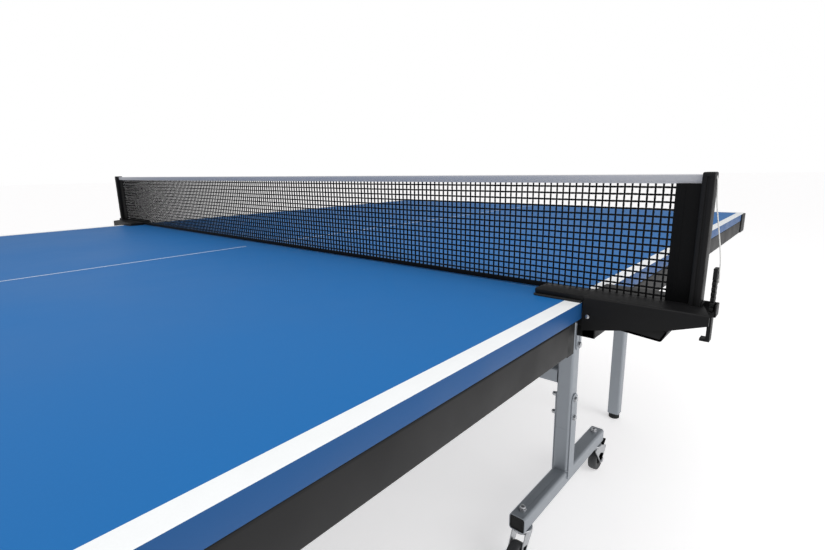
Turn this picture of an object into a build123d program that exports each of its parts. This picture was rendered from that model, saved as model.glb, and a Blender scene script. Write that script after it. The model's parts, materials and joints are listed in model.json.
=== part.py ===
from build123d import *
import os

# A roll-away table tennis table in two halves, with a clip-on net set.
# X runs along the table, Y across it, Z up. The origin is on the floor under the middle of the net.
# Half "b" lies on +X and is modelled directly; half "a" is the same product turned half a turn about Z.

# ---- Playing surface -------------------------------------------------------------------------
TABLE_LENGTH = 2740.0
TABLE_WIDTH = 1525.0
TABLE_HEIGHT = 760.0
BOARD_T = 22.0
HALVES_GAP = 3.0          # between the two boards under the net
BOARD_CORNER_R = 4.0

# ---- Apron under the board -------------------------------------------------------------------
APRON_H = 40.0
APRON_DEPTH = 25.0        # width of the channel's flanges
APRON_SHEET = 2.0
APRON_NET_SETBACK = 58.0  # the apron stops this far from the net plane, to leave room for the clamps
NET_CAP_LEN = 18.0        # plastic cap on the rail's end beside the net
GUARD_LEG = 60.0          # corner guard, each way round the corner
GUARD_WALL = 3.0
GUARD_CORNER_R = 4.0

# ---- Underframe ------------------------------------------------------------------------------
STRINGER_Y = 572.5        # centre of the two long members
STRINGER_W = 25.0
STRINGER_H = 30.0
STRINGER_WALL = 1.5
CROSS_NET_X = 212.5       # cross member nearest the net
CROSS_END_X = 1227.5      # cross member nearest the end line

# ---- Rolling chassis -------------------------------------------------------------------------
TUBE = 40.0               # square tube of posts, foot beams, legs and cross tubes
TUBE_WALL = 2.0
TUBE_R = 7.0
POST_X = 512.5
POST_Y = 527.0
POST_SEAM_Z = 260.0       # the upper post stands on the foot's stub here
POST_TOP_GAP = 48.0       # from the board's underside to the post's top
BEAM_BOTTOM_Z = 100.0
BEAM_HALF_LEN = 250.0
BEAM_X = 515.0
CHEEK_T = 3.0
CHEEK_W = 32.0
CHEEK_DROP = 22.0         # how far a cheek reaches down over the beam's side
JOINT_BOLT_Z = (290.0, 341.0)
SPLICE_BOLT_R = 4.0
TIE_TUBE_Z = 400.0
PLUG_DEPTH = 14.0
PLUG_GAP = 0.1

# ---- Tilt pivots and folding linkage ---------------------------------------------------------
PIVOT_X = 455.0           # the half tilts about this axis
PIVOT_DROP = 23.0         # below the board's underside
PIVOT_R = 5.0
RUN_FIT = 0.05            # radial running clearance on every pivot
LUG_T = 4.0
LUG_HEAD_R = 16.0
LUG_STRIP_W = 28.0
LUG_BOLT_Z = (490.0, 600.0)
LINK_DROP = 60.0          # the link rod runs this far below the pivot line
LINK_PIN_R = 4.0
LINK_FIT = 0.2            # radial play of the link rod on its pins
LINK_T = 5.0
LINK_H = 20.0
LINK_Y = 493.5
LINK_GAP = 0.5
BRACKET_T = 3.0
BRACKET_GAP = 5.0         # between a tilt bracket's cheek and the lug beside it
LEG_BRACKET_GAP = 1.0     # between a leg and its bracket

# ---- Outer legs ------------------------------------------------------------------------------
LEG_X = 1125.0
LEG_Y = 466.0
LEG_TOP_RISE = 7.0        # the leg's top end above its hinge
LEG_BRACE_Z = 450.0
FOOT_H = 20.0
FOOT_LIP = 1.5            # the foot's rim stays this far inside the leg's outer faces
FOOT_SPIGOT = 16.0        # how far the foot's plug reaches up inside the leg
FOOT_SPIGOT_PLAY = 2.0    # between the plug and the inside of the leg's flat walls

# ---- Castors ---------------------------------------------------------------------------------
WHEEL_R = 35.0
WHEEL_W = 25.0
HUB_R = 17.0
HUB_W = 30.4
CASTOR_TRAIL = 32.0
CASTOR_INSET = 28.0       # stem axis in from the beam's end
RACE_R = 24.0             # fixed upper race
RACE_T = 5.0
FORK_RACE_R = 21.0
FORK_RACE_T = 6.0
RACE_GAP = 0.3
FORK_SHEET = 2.5
FORK_INSIDE = 31.0
AXLE_R = 4.0
STEM_R = 5.0
PEDAL_DX = 28.0           # brake pedal's pivot, from the wheel's centre
PEDAL_DZ = 31.0
PEDAL_PIN_R = 2.5
PEDAL_BARREL_R = 4.0
PEDAL_W = 24.0
PEDAL_T = 2.5
PEDAL_ARM = 26.0          # length of the pad's arm, which rises at PEDAL_ARM_ANGLE
PEDAL_ARM_ANGLE = 30.0
PEDAL_SHOE_DROP = 13.0    # from the pedal's pivot down to the shoe's edge
PEDAL_TRAVEL = 12.0       # degrees, from free to braked
SHOE_GAP = 0.3            # shoe to tyre with the pedal down

# ---- Tilt latch ------------------------------------------------------------------------------
LATCH_X = 520.0
LATCH_DROP = 58.0         # latch pivot below the board's underside
LATCH_T = 4.0
LATCH_REACH = 40.0        # from the latch's pivot to the pin it catches
LATCH_PIN_R = 4.0
LATCH_NOSE_GAP = 0.6
LATCH_NOSE_T = 7.0
LATCH_SWING = 35.0        # degrees, from released to caught
LATCH_HANDLE = 110.0      # from the latch's pivot to the release bar
LATCH_HANDLE_ANGLE = -70.0  # degrees from level, released
RELEASE_BAR_R = 6.0

# ---- Net set ---------------------------------------------------------------------------------
NET_H = 152.5
NET_POST_OVERHANG = 120.5  # outer face of a net post, beyond the board's side
NET_POST_W = 12.0
NET_POST_D = 20.0
NET_POST_CAP = 2.5
GROOVE_W = 3.0
GROOVE_D = 1.5
SLEEVE_W = 26.0
SLEEVE_T = 5.0
TAPE_H = 10.0
TAPE_T = 3.2
MESH_T = 2.0
BAND_H = 7.0
BAND_T = 2.6
NET_FLOAT = 1.0           # between the net's lower edge and the board
ARM_HALF_W = 47.0
ARM_SHEET = 3.0
ARM_GRIP = 64.5           # how far an arm's plate lies over the board
ARM_REACH = 136.5         # how far an arm stands out beyond the board's side
ARM_DROP_IN = 36.0        # an arm's cheeks reach this far below the playing surface at the board,
ARM_DROP_MID = 16.5       # this far at the bend in their lower edge,
ARM_DROP_OUT = 3.0        # and this far at the outer end
ARM_BEND_IN = 40.0        # the bend's place, in from the outer end
ARM_PAD_T = 2.0
ARM_SIDE_GAP = 1.5        # from the board's side to the arm's cheeks
SEAM_CLEAR = 0.5          # the clamp's plate and jaw stop this far short of the board's net edge
JAW_PIN_OUT = 8.0         # jaw pin beyond the board's side
JAW_PIN_DROP = 17.0       # below the playing surface
JAW_PIN_R = 3.0
JAW_SIDE_GAP = 1.0
JAW_PAD_GAP = 0.3
JAW_SHEET = 2.5
JAW_PAD_GRIP = 5.5        # how far the pad reaches in under the board
JAW_PAD_H = 23.0
JAW_PAD_LEDGE = 8.0       # depth of the pad's wider upper part
JAW_BOSS_OUT = 9.0        # outer edge of the jaw's body, beyond its pin
JAW_RISE = 7.0            # top of the jaw above its pin
JAW_FLOOR = 3.0           # thickness of the squeeze handle's floor
HANDLE_ROOT = (46.0, 7.0)   # lower bend of the squeeze handle: out from the pin, and below it
HANDLE_HEEL = (83.0, 15.0)  # lowest point of its grip
HANDLE_TIP = (89.0, 2.0)    # outermost point of its grip
HANDLE_BACK = (41.0, 5.0)   # upper bend: out from the pin, and above it
SPRING_FIT = 0.3          # between the spring's coils and the pin
SPRING_WIRE = 1.6
SPRING_HALF_LEN = 14.0
RACK_OUT = 130.5          # middle of a rack beyond the board's side
RACK_T = 4.0
RACK_W = 12.0
RACK_LEN = 84.0
RACK_TOP_RISE = 52.0      # rack's top above the playing surface
RACK_SLOT_GAP = 0.8
RACK_NOTCH = 2.4
RACK_NOTCH_PITCH = 6.0
RACK_NOTCHES = 7
RACK_NOTCH_START = 14.0   # first notch below the rack's top
CORD_R = 1.0

# ---- Worked out from the above ---------------------------------------------------------------
HALF_LEN = TABLE_LENGTH / 2
HALF_WID = TABLE_WIDTH / 2
NET_EDGE_X = HALVES_GAP / 2
UNDERSIDE_Z = TABLE_HEIGHT - BOARD_T
APRON_Z = UNDERSIDE_Z - APRON_H
RAIL_X0 = APRON_NET_SETBACK + NET_CAP_LEN
RAIL_IN_Y = HALF_WID - APRON_DEPTH
PIVOT_Z = UNDERSIDE_Z - PIVOT_DROP
LINK_Z = PIVOT_Z - LINK_DROP
POST_TOP_Z = UNDERSIDE_Z - POST_TOP_GAP
BEAM_TOP_Z = BEAM_BOTTOM_Z + TUBE
BEAM_MID_Z = BEAM_BOTTOM_Z + TUBE / 2
POST_IN_Y = POST_Y - TUBE / 2
POST_OUT_Y = POST_Y + TUBE / 2
STEM_XS = (BEAM_X - BEAM_HALF_LEN + CASTOR_INSET, BEAM_X + BEAM_HALF_LEN - CASTOR_INSET)
LATCH_Z = UNDERSIDE_Z - LATCH_DROP
FOOT_R = TUBE / 2 - FOOT_LIP
FOOT_SPIGOT_R = TUBE / 2 - TUBE_WALL - FOOT_SPIGOT_PLAY
NET_POST_OUT = HALF_WID + NET_POST_OVERHANG
ARM_INNER_Y = HALF_WID - ARM_GRIP
ARM_OUTER_Y = HALF_WID + ARM_REACH
JAW_PIN_Y = HALF_WID + JAW_PIN_OUT
JAW_PIN_Z = TABLE_HEIGHT - JAW_PIN_DROP
JAW_PAD_Y = HALF_WID - JAW_PAD_GRIP
RACK_Y = HALF_WID + RACK_OUT


# ---- Shape helpers ---------------------------------------------------------------------------
def block(x0, x1, y0, y1, z0, z1):
    """A box between two corners."""
    middle = Pos((x0 + x1) / 2, (y0 + y1) / 2, (z0 + z1) / 2)
    return middle * Box(abs(x1 - x0), abs(y1 - y0), abs(z1 - z0))


def slab_y(face, y0, y1):
    """A flat outline drawn in X and Z, made solid between two values of Y."""
    plane = Plane(origin=(0, max(y0, y1), 0), x_dir=(1, 0, 0), z_dir=(0, -1, 0))
    return extrude(plane * face, abs(y1 - y0))


def slab_x(face, x0, x1):
    """A flat outline drawn in Y and Z, made solid between two values of X."""
    plane = Plane(origin=(min(x0, x1), 0, 0), x_dir=(0, 1, 0), z_dir=(1, 0, 0))
    return extrude(plane * face, abs(x1 - x0))


def rod_y(x, z, radius, y0, y1):
    """A round bar along Y."""
    return slab_y(Pos(x, z) * Circle(radius), y0, y1)


def rod_x(y, z, radius, x0, x1):
    """A round bar along X."""
    return slab_x(Pos(y, z) * Circle(radius), x0, x1)


def rod_z(x, y, radius, z0, z1):
    """A round bar along Z."""
    return Pos(x, y, z0) * extrude(Circle(radius), z1 - z0)


def box_tube(length, across, high, wall, corner):
    """A rectangular tube standing on the origin, along +Z."""
    outer = RectangleRounded(across, high, corner)
    inner = RectangleRounded(across - 2 * wall, high - 2 * wall, corner - wall)
    return extrude(outer - inner, length)


def hex_y(x, z, across_flats, y0, y1):
    """A hexagon head or nut along Y."""
    radius = across_flats / 3 ** 0.5
    return slab_y(Pos(x, z) * RegularPolygon(radius, 6), y0, y1)


def solids_of(*shapes):
    """Every solid of the shapes, in one flat list."""
    return [solid for shape in shapes for solid in shape.solids()]


def both_sides(solids):
    """The pieces and their mirror images across the table's long middle plane."""
    return list(solids) + [mirror(solid, about=Plane.XZ) for solid in solids]


def save(node, solids):
    """Write one sub-part; like pieces share a node as separate solids."""
    flat = solids_of(*solids)
    export_step(flat[0] if len(flat) == 1 else Compound(flat), f"parts/{node}.step")


# ---- Top: board, apron, underframe -----------------------------------------------------------
def board():
    """The playing board of one half, its upright corner edges eased at the end line."""
    body = block(NET_EDGE_X, HALF_LEN, -HALF_WID, HALF_WID, UNDERSIDE_Z, TABLE_HEIGHT)
    end_corners = body.edges().filter_by(Axis.Z).group_by(Axis.X)[-1]
    return [fillet(end_corners, BOARD_CORNER_R)]


def channel_x(x0, x1):
    """An apron rail along X on the -Y side, open towards the middle of the table."""
    outer = block(x0, x1, -HALF_WID, -RAIL_IN_Y, APRON_Z, UNDERSIDE_Z)
    inside_z = (APRON_Z + APRON_SHEET, UNDERSIDE_Z - APRON_SHEET)
    hollow = block(x0, x1, -HALF_WID + APRON_SHEET, -RAIL_IN_Y, *inside_z)
    return outer - hollow


def apron():
    """Two side rails, the end rail and the rail beside the net."""
    sides = both_sides([channel_x(RAIL_X0, HALF_LEN - GUARD_LEG)])
    inside_z = (APRON_Z + APRON_SHEET, UNDERSIDE_Z - APRON_SHEET)
    end_y = HALF_WID - GUARD_LEG
    end = block(HALF_LEN - APRON_DEPTH, HALF_LEN, -end_y, end_y, APRON_Z, UNDERSIDE_Z)
    end -= block(HALF_LEN - APRON_DEPTH, HALF_LEN - APRON_SHEET, -end_y, end_y, *inside_z)
    net_x = APRON_NET_SETBACK
    net = block(net_x, net_x + APRON_DEPTH, -RAIL_IN_Y, RAIL_IN_Y, APRON_Z, UNDERSIDE_Z)
    net -= block(net_x + APRON_SHEET, net_x + APRON_DEPTH, -RAIL_IN_Y, RAIL_IN_Y, *inside_z)
    return sides + [end, net]


def corner_guards():
    """Moulded guards at the end-line corners and caps on the rails' ends beside the net."""
    x0 = HALF_LEN - GUARD_LEG
    y0 = HALF_WID - GUARD_LEG
    guard = block(x0, HALF_LEN, -HALF_WID, -y0, APRON_Z, UNDERSIDE_Z)
    outer_edge = guard.edges().filter_by(Axis.Z).sort_by(lambda edge: edge.center().Y - edge.center().X)[0]
    guard = fillet(outer_edge, GUARD_CORNER_R)
    guard -= block(
        x0, HALF_LEN - GUARD_WALL, -HALF_WID + GUARD_WALL, -y0, APRON_Z + GUARD_WALL, UNDERSIDE_Z
    )
    cap = block(APRON_NET_SETBACK, RAIL_X0, -HALF_WID, -RAIL_IN_Y, APRON_Z, UNDERSIDE_Z)
    cap -= block(
        APRON_NET_SETBACK + GUARD_WALL, RAIL_X0, -HALF_WID + GUARD_WALL, -RAIL_IN_Y - GUARD_WALL,
        APRON_Z + GUARD_WALL, UNDERSIDE_Z,
    )
    return both_sides([guard, cap])


def tilt_bracket():
    """The bracket under the board that turns on the tilt pivot, between the post's two lugs."""
    y0 = -POST_OUT_Y + BRACKET_GAP
    y1 = -POST_IN_Y - BRACKET_GAP
    half = LUG_HEAD_R + 10
    base = block(PIVOT_X - half, PIVOT_X + half, y0, y1, UNDERSIDE_Z - BRACKET_T, UNDERSIDE_Z)
    outline = Pos(PIVOT_X, PIVOT_Z) * Circle(LUG_HEAD_R - 2)
    outline += Pos(PIVOT_X, PIVOT_Z + PIVOT_DROP / 2) * Rectangle(2 * LUG_HEAD_R - 4, PIVOT_DROP)
    outline -= Pos(PIVOT_X, PIVOT_Z) * Circle(PIVOT_R + RUN_FIT)
    return base + slab_y(outline, y0, y0 + BRACKET_T) + slab_y(outline, y1 - BRACKET_T, y1)


def leg_bracket(side):
    """One of a leg hinge's two angle brackets; side is -1 outside the leg and 1 inside it."""
    face_y = -LEG_Y + side * (TUBE / 2 + LEG_BRACKET_GAP)
    plate_y = face_y + side * BRACKET_T
    flange_y = plate_y + side * STRINGER_W
    outline = Pos(LEG_X, PIVOT_Z) * Circle(LUG_HEAD_R - 2)
    outline += Pos(LEG_X, PIVOT_Z + PIVOT_DROP / 2) * Rectangle(2 * LUG_HEAD_R - 4, PIVOT_DROP)
    outline -= Pos(LEG_X, PIVOT_Z) * Circle(PIVOT_R)
    flange = block(
        LEG_X - LUG_HEAD_R + 2, LEG_X + LUG_HEAD_R - 2, plate_y, flange_y,
        UNDERSIDE_Z - BRACKET_T, UNDERSIDE_Z,
    )
    return slab_y(outline, face_y, plate_y) + flange


def latch_pin():
    """The stud on the stringer that the tilt latch catches."""
    inner = STRINGER_Y - STRINGER_W / 2
    return rod_y(LATCH_X, LATCH_Z + LATCH_REACH, LATCH_PIN_R, -inner, -POST_OUT_Y - LUG_T - 0.6)


def underframe():
    """Stringers, cross members, outriggers, and the tilt and leg brackets with their pins."""
    mid_z = UNDERSIDE_Z - STRINGER_H / 2
    x0 = APRON_NET_SETBACK + APRON_DEPTH
    x1 = HALF_LEN - APRON_DEPTH
    size = (STRINGER_H, STRINGER_W, STRINGER_WALL, 2 * STRINGER_WALL)
    stringer = Pos(x0, -STRINGER_Y, mid_z) * Rot(0, 90, 0) * box_tube(x1 - x0, *size)
    inner = STRINGER_Y - STRINGER_W / 2
    outer = STRINGER_Y + STRINGER_W / 2
    middles = []
    outriggers = []
    across = (STRINGER_W, STRINGER_H, STRINGER_WALL, 2 * STRINGER_WALL)
    for x in (CROSS_NET_X, CROSS_END_X):
        middles.append(Pos(x, -inner, mid_z) * Rot(-90, 0, 0) * box_tube(2 * inner, *across))
        outriggers.append(Pos(x, -RAIL_IN_Y, mid_z) * Rot(-90, 0, 0) * box_tube(RAIL_IN_Y - outer, *across))
    leg_in = LEG_Y - TUBE / 2 - LEG_BRACKET_GAP - BRACKET_T
    leg_out = LEG_Y + TUBE / 2 + LEG_BRACKET_GAP + BRACKET_T
    hinge_pin = rod_y(LEG_X, PIVOT_Z, PIVOT_R, -leg_out, -leg_in + BRACKET_T)
    hinge_pin += rod_y(LEG_X, PIVOT_Z, PIVOT_R + BRACKET_T, -leg_in, -leg_in + BRACKET_T)
    brackets = [tilt_bracket(), leg_bracket(-1), leg_bracket(1)]
    return both_sides([stringer, *outriggers, *brackets, hinge_pin, latch_pin()]) + middles


# ---- Chassis: foot beams, posts, tie tube, cheeks, lugs, plugs and fasteners ------------------
def through_holes_y(x, zs, radius):
    """Bars along Y that drill both walls of the -Y post."""
    return [rod_y(x, z, radius, -POST_OUT_Y - TUBE, -POST_IN_Y + TUBE) for z in zs]


def foot_beams():
    """Inverted-T feet: a beam along X with the stub that carries the post welded on top."""
    tube = (TUBE, TUBE, TUBE_WALL, TUBE_R)
    x0 = BEAM_X - BEAM_HALF_LEN
    beam = Pos(x0, -POST_Y, BEAM_MID_Z) * Rot(0, 90, 0) * box_tube(2 * BEAM_HALF_LEN, *tube)
    stub = Pos(POST_X, -POST_Y, BEAM_TOP_Z) * box_tube(POST_SEAM_Z - BEAM_TOP_Z, *tube)
    for x in STEM_XS:
        beam -= rod_z(x, -POST_Y, STEM_R + RUN_FIT, BEAM_BOTTOM_Z - 1, BEAM_TOP_Z + 1)
    return both_sides([beam, stub])


def post_frame():
    """Upper posts, which stand on the stubs and carry the tilt pivots, and the tie tube between them."""
    tube = (TUBE, TUBE, TUBE_WALL, TUBE_R)
    post = Pos(POST_X, -POST_Y, POST_SEAM_Z) * box_tube(POST_TOP_Z - POST_SEAM_Z, *tube)
    for hole in through_holes_y(POST_X, JOINT_BOLT_Z + LUG_BOLT_Z, SPLICE_BOLT_R + RUN_FIT):
        post -= hole
    tie = Pos(POST_X, -POST_IN_Y, TIE_TUBE_Z) * Rot(-90, 0, 0) * box_tube(2 * POST_IN_Y, *tube)
    return both_sides([post]) + [tie]


def cheek_plates():
    """Round-topped plates that splice each post to its foot, on both sides."""
    top = JOINT_BOLT_Z[-1]
    bottom = BEAM_TOP_Z - CHEEK_DROP
    outline = Pos(POST_X, (top + bottom) / 2) * Rectangle(CHEEK_W, top - bottom)
    outline += Pos(POST_X, top) * Circle(CHEEK_W / 2)
    for z in JOINT_BOLT_Z:
        outline -= Pos(POST_X, z) * Circle(SPLICE_BOLT_R + RUN_FIT)
    outside = slab_y(outline, -POST_OUT_Y - CHEEK_T, -POST_OUT_Y)
    inside = slab_y(outline, -POST_IN_Y, -POST_IN_Y + CHEEK_T)
    return both_sides([outside, inside])


def lug_outline():
    """A pivot lug: a strip down the post's side with a head that reaches towards the net."""
    strip_low = LUG_BOLT_Z[0]
    head_left = PIVOT_X - LUG_HEAD_R
    head_right = POST_X + LUG_STRIP_W / 2
    head_low = LINK_Z - LUG_HEAD_R + 4
    outline = Pos(POST_X, (strip_low + head_low) / 2) * Rectangle(LUG_STRIP_W, head_low - strip_low)
    outline += Pos(POST_X, strip_low) * Circle(LUG_STRIP_W / 2)
    outline += Pos((head_left + head_right) / 2, (head_low + POST_TOP_Z) / 2) * Rectangle(
        head_right - head_left, POST_TOP_Z - head_low
    )
    outline += Pos(PIVOT_X, (head_low + PIVOT_Z) / 2) * Rectangle(2 * LUG_HEAD_R, PIVOT_Z - head_low)
    outline += Pos(PIVOT_X, PIVOT_Z) * Circle(LUG_HEAD_R)
    for z in LUG_BOLT_Z:
        outline -= Pos(POST_X, z) * Circle(SPLICE_BOLT_R + RUN_FIT)
    return outline - Pos(PIVOT_X, PIVOT_Z) * Circle(PIVOT_R)


def pivot_lugs():
    """The four lugs that hold the tilt pivots and the link rods' lower pins."""
    outside = lug_outline() - Pos(LATCH_X, LATCH_Z) * Circle(LATCH_PIN_R)
    inside = lug_outline() - Pos(PIVOT_X, LINK_Z) * Circle(LINK_PIN_R)
    outer = slab_y(outside, -POST_OUT_Y - LUG_T, -POST_OUT_Y)
    inner = slab_y(inside, -POST_IN_Y, -POST_IN_Y + LUG_T)
    return both_sides([outer, inner])


def beam_plugs():
    """Plastic plugs that close the foot beams' ends."""
    side = TUBE - 2 * TUBE_WALL - PLUG_GAP
    plug = extrude(RectangleRounded(side, side, TUBE_R - TUBE_WALL), PLUG_DEPTH)
    near_net = Pos(BEAM_X - BEAM_HALF_LEN, -POST_Y, BEAM_MID_Z) * Rot(0, 90, 0) * plug
    near_end = Pos(BEAM_X + BEAM_HALF_LEN - PLUG_DEPTH, -POST_Y, BEAM_MID_Z) * Rot(0, 90, 0) * plug
    return both_sides([near_net, near_end])


def bolt_y(x, z, radius, outer_y, inner_y):
    """A bolt along Y: hexagon head outside, nut inside, each seated on the given face."""
    head = hex_y(x, z, 3.25 * radius, -outer_y - 1.4 * radius, -outer_y)
    nut = hex_y(x, z, 3.25 * radius, -inner_y, -inner_y + 1.2 * radius)
    return rod_y(x, z, radius, -outer_y, -inner_y + 1.6 * radius) + head + nut


def stem(x):
    """A castor's stem: head under the fork, fixed upper race, domed nut on the beam."""
    race_low = BEAM_BOTTOM_Z - RACE_T
    head_top = race_low - RACE_GAP - FORK_RACE_T - RACE_GAP
    shaft = rod_z(x, -POST_Y, STEM_R, head_top - 5, BEAM_TOP_Z + 5)
    shaft += rod_z(x, -POST_Y, STEM_R + 4, head_top - 5, head_top)
    shaft += rod_z(x, -POST_Y, RACE_R, race_low, BEAM_BOTTOM_Z)
    nut = Pos(x, -POST_Y, BEAM_TOP_Z) * extrude(RegularPolygon(STEM_R + 3.5, 6), 6)
    dome = Pos(x, -POST_Y, BEAM_TOP_Z + 5) * Sphere(STEM_R + 1.5)
    return shaft + nut + (dome & rod_z(x, -POST_Y, 2 * STEM_R, BEAM_TOP_Z + 5, BEAM_TOP_Z + 20))


def chassis_fasteners():
    """Splice bolts, lug bolts, tilt pivot bolts, link pins and castor stems."""
    pieces = []
    for z in JOINT_BOLT_Z:
        pieces.append(bolt_y(POST_X, z, SPLICE_BOLT_R, POST_OUT_Y + CHEEK_T, POST_IN_Y - CHEEK_T))
    for z in LUG_BOLT_Z:
        pieces.append(bolt_y(POST_X, z, SPLICE_BOLT_R, POST_OUT_Y + LUG_T, POST_IN_Y - LUG_T))
    inner_face = POST_IN_Y - LUG_T
    pivot = rod_y(PIVOT_X, PIVOT_Z, PIVOT_R, -POST_OUT_Y - LUG_T, -inner_face)
    pivot += rod_y(PIVOT_X, PIVOT_Z, LUG_HEAD_R - 7, -POST_OUT_Y - LUG_T - 5, -POST_OUT_Y - LUG_T)
    pivot += rod_y(PIVOT_X, PIVOT_Z, LUG_HEAD_R - 7, -inner_face, -inner_face + 4)
    pieces.append(pivot)
    link_out = LINK_Y + LINK_T / 2 + LINK_GAP
    link_in = LINK_Y - LINK_T / 2 - LINK_GAP
    pin = rod_y(PIVOT_X, LINK_Z, LINK_PIN_R, -POST_IN_Y, -link_in)
    pin += rod_y(PIVOT_X, LINK_Z, LINK_PIN_R + 3, -inner_face, -link_out)
    pin += rod_y(PIVOT_X, LINK_Z, LINK_PIN_R + 3, -link_in, -link_in + 3)
    pieces.append(pin)
    latch = rod_y(LATCH_X, LATCH_Z, LATCH_PIN_R, -POST_OUT_Y - LUG_T - LATCH_T - 1, -POST_OUT_Y)
    latch_end = POST_OUT_Y + LUG_T + LATCH_T + 1
    latch += rod_y(LATCH_X, LATCH_Z, LATCH_PIN_R + 3, -latch_end - 2, -latch_end)
    pieces.append(latch)
    pieces += [stem(x) for x in STEM_XS]
    return both_sides(pieces)


# ---- Folding legs ----------------------------------------------------------------------------
def leg_frame():
    """Two outer legs, the brace between them, and the studs that the link rods hold."""
    top_z = PIVOT_Z + LEG_TOP_RISE
    tube = (TUBE, TUBE, TUBE_WALL, TUBE_R)
    leg = Pos(LEG_X, -LEG_Y, FOOT_H) * box_tube(top_z - FOOT_H, *tube)
    leg -= rod_y(LEG_X, PIVOT_Z, PIVOT_R + RUN_FIT, -LEG_Y - TUBE, -LEG_Y + TUBE)
    face = LEG_Y + TUBE / 2
    link_in = LINK_Y - LINK_T / 2 - LINK_GAP
    link_out = LINK_Y + LINK_T / 2 + LINK_GAP
    stud = rod_y(LEG_X, LINK_Z, LINK_PIN_R, -link_out - 2, -face)
    stud += rod_y(LEG_X, LINK_Z, LINK_PIN_R + 3, -link_in, -face)
    stud += rod_y(LEG_X, LINK_Z, LINK_PIN_R + 3, -link_out - 2, -link_out)
    inner = LEG_Y - TUBE / 2
    brace = Pos(LEG_X, -inner, LEG_BRACE_Z) * Rot(-90, 0, 0) * box_tube(2 * inner, *tube)
    return both_sides([leg, stud]) + [brace]


def rubber_feet():
    """Round rubber feet pushed up into the legs."""
    foot = rod_z(LEG_X, -LEG_Y, FOOT_R, 0, FOOT_H)
    bottom = foot.edges().group_by(Axis.Z)[0]
    foot = chamfer(bottom, 1.5)
    foot += rod_z(LEG_X, -LEG_Y, FOOT_SPIGOT_R, FOOT_H, FOOT_H + FOOT_SPIGOT)
    return both_sides([foot])


def link_rods():
    """Flat rods that keep the legs upright while the half tilts."""
    span = LEG_X - PIVOT_X
    middle = (LEG_X + PIVOT_X) / 2
    outline = Pos(middle, LINK_Z) * SlotCenterToCenter(span, LINK_H)
    for x in (PIVOT_X, LEG_X):
        outline -= Pos(x, LINK_Z) * Circle(LINK_PIN_R + LINK_FIT)
    return both_sides([slab_y(outline, -LINK_Y - LINK_T / 2, -LINK_Y + LINK_T / 2)])


# ---- Castors, modelled with the stem's axis on Z and the wheel trailing towards +X --------------
def fork_ears(y0, y1, braked):
    """One side plate of a fork."""
    top = BEAM_BOTTOM_Z - RACE_T - RACE_GAP
    crown = [Pos(x, top - 9) * Circle(9) for x in (-9, 9)]
    foot = Pos(CASTOR_TRAIL, WHEEL_R) * Circle(AXLE_R + 6)
    edges = [edge for circle in crown + [foot] for edge in circle.edges()]
    outline = make_hull(edges)
    if braked:
        ear = Pos(CASTOR_TRAIL + PEDAL_DX, WHEEL_R + PEDAL_DZ) * Circle(PEDAL_PIN_R + 4)
        outline += make_hull(crown[1].edges() + ear.edges() + foot.edges())
        outline -= Pos(CASTOR_TRAIL + PEDAL_DX, WHEEL_R + PEDAL_DZ) * Circle(PEDAL_PIN_R)
    outline -= Pos(CASTOR_TRAIL, WHEEL_R) * Circle(AXLE_R)
    return slab_y(outline, y0, y1)


def castor_fork(braked):
    """Pressed fork with its race, the axle bolt and, on a braked castor, the pedal's pin."""
    race_top = BEAM_BOTTOM_Z - RACE_T - RACE_GAP
    inside = FORK_INSIDE / 2
    outside = inside + FORK_SHEET
    fork = rod_z(0, 0, FORK_RACE_R, race_top - FORK_RACE_T, race_top)
    fork += fork_ears(-outside, -inside, braked) + fork_ears(inside, outside, braked)
    fork -= rod_z(0, 0, STEM_R + RUN_FIT, race_top - 2 * FORK_RACE_T, race_top + 1)
    axle = rod_y(CASTOR_TRAIL, WHEEL_R, AXLE_R, -outside, outside)
    axle += hex_y(CASTOR_TRAIL, WHEEL_R, 3.25 * AXLE_R, -outside - 4, -outside)
    axle += hex_y(CASTOR_TRAIL, WHEEL_R, 3.25 * AXLE_R, outside, outside + 4)
    pieces = [fork, axle]
    if braked:
        pin_at = (CASTOR_TRAIL + PEDAL_DX, WHEEL_R + PEDAL_DZ)
        pieces.append(rod_y(*pin_at, PEDAL_PIN_R, -outside - 1, outside + 1))
    return pieces


def castor_wheel():
    """Tyre and hub."""
    tyre = rod_y(CASTOR_TRAIL, WHEEL_R, WHEEL_R, -WHEEL_W / 2, WHEEL_W / 2)
    tyre = fillet(tyre.edges().filter_by(GeomType.CIRCLE), 4)
    tyre -= rod_y(CASTOR_TRAIL, WHEEL_R, HUB_R, -WHEEL_W, WHEEL_W)
    hub = rod_y(CASTOR_TRAIL, WHEEL_R, HUB_R, -WHEEL_W / 2 + 2, WHEEL_W / 2 - 2)
    hub += rod_y(CASTOR_TRAIL, WHEEL_R, AXLE_R + 4, -HUB_W / 2, HUB_W / 2)
    hub -= rod_y(CASTOR_TRAIL, WHEEL_R, AXLE_R + RUN_FIT, -WHEEL_W, WHEEL_W)
    return [tyre, hub]


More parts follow.
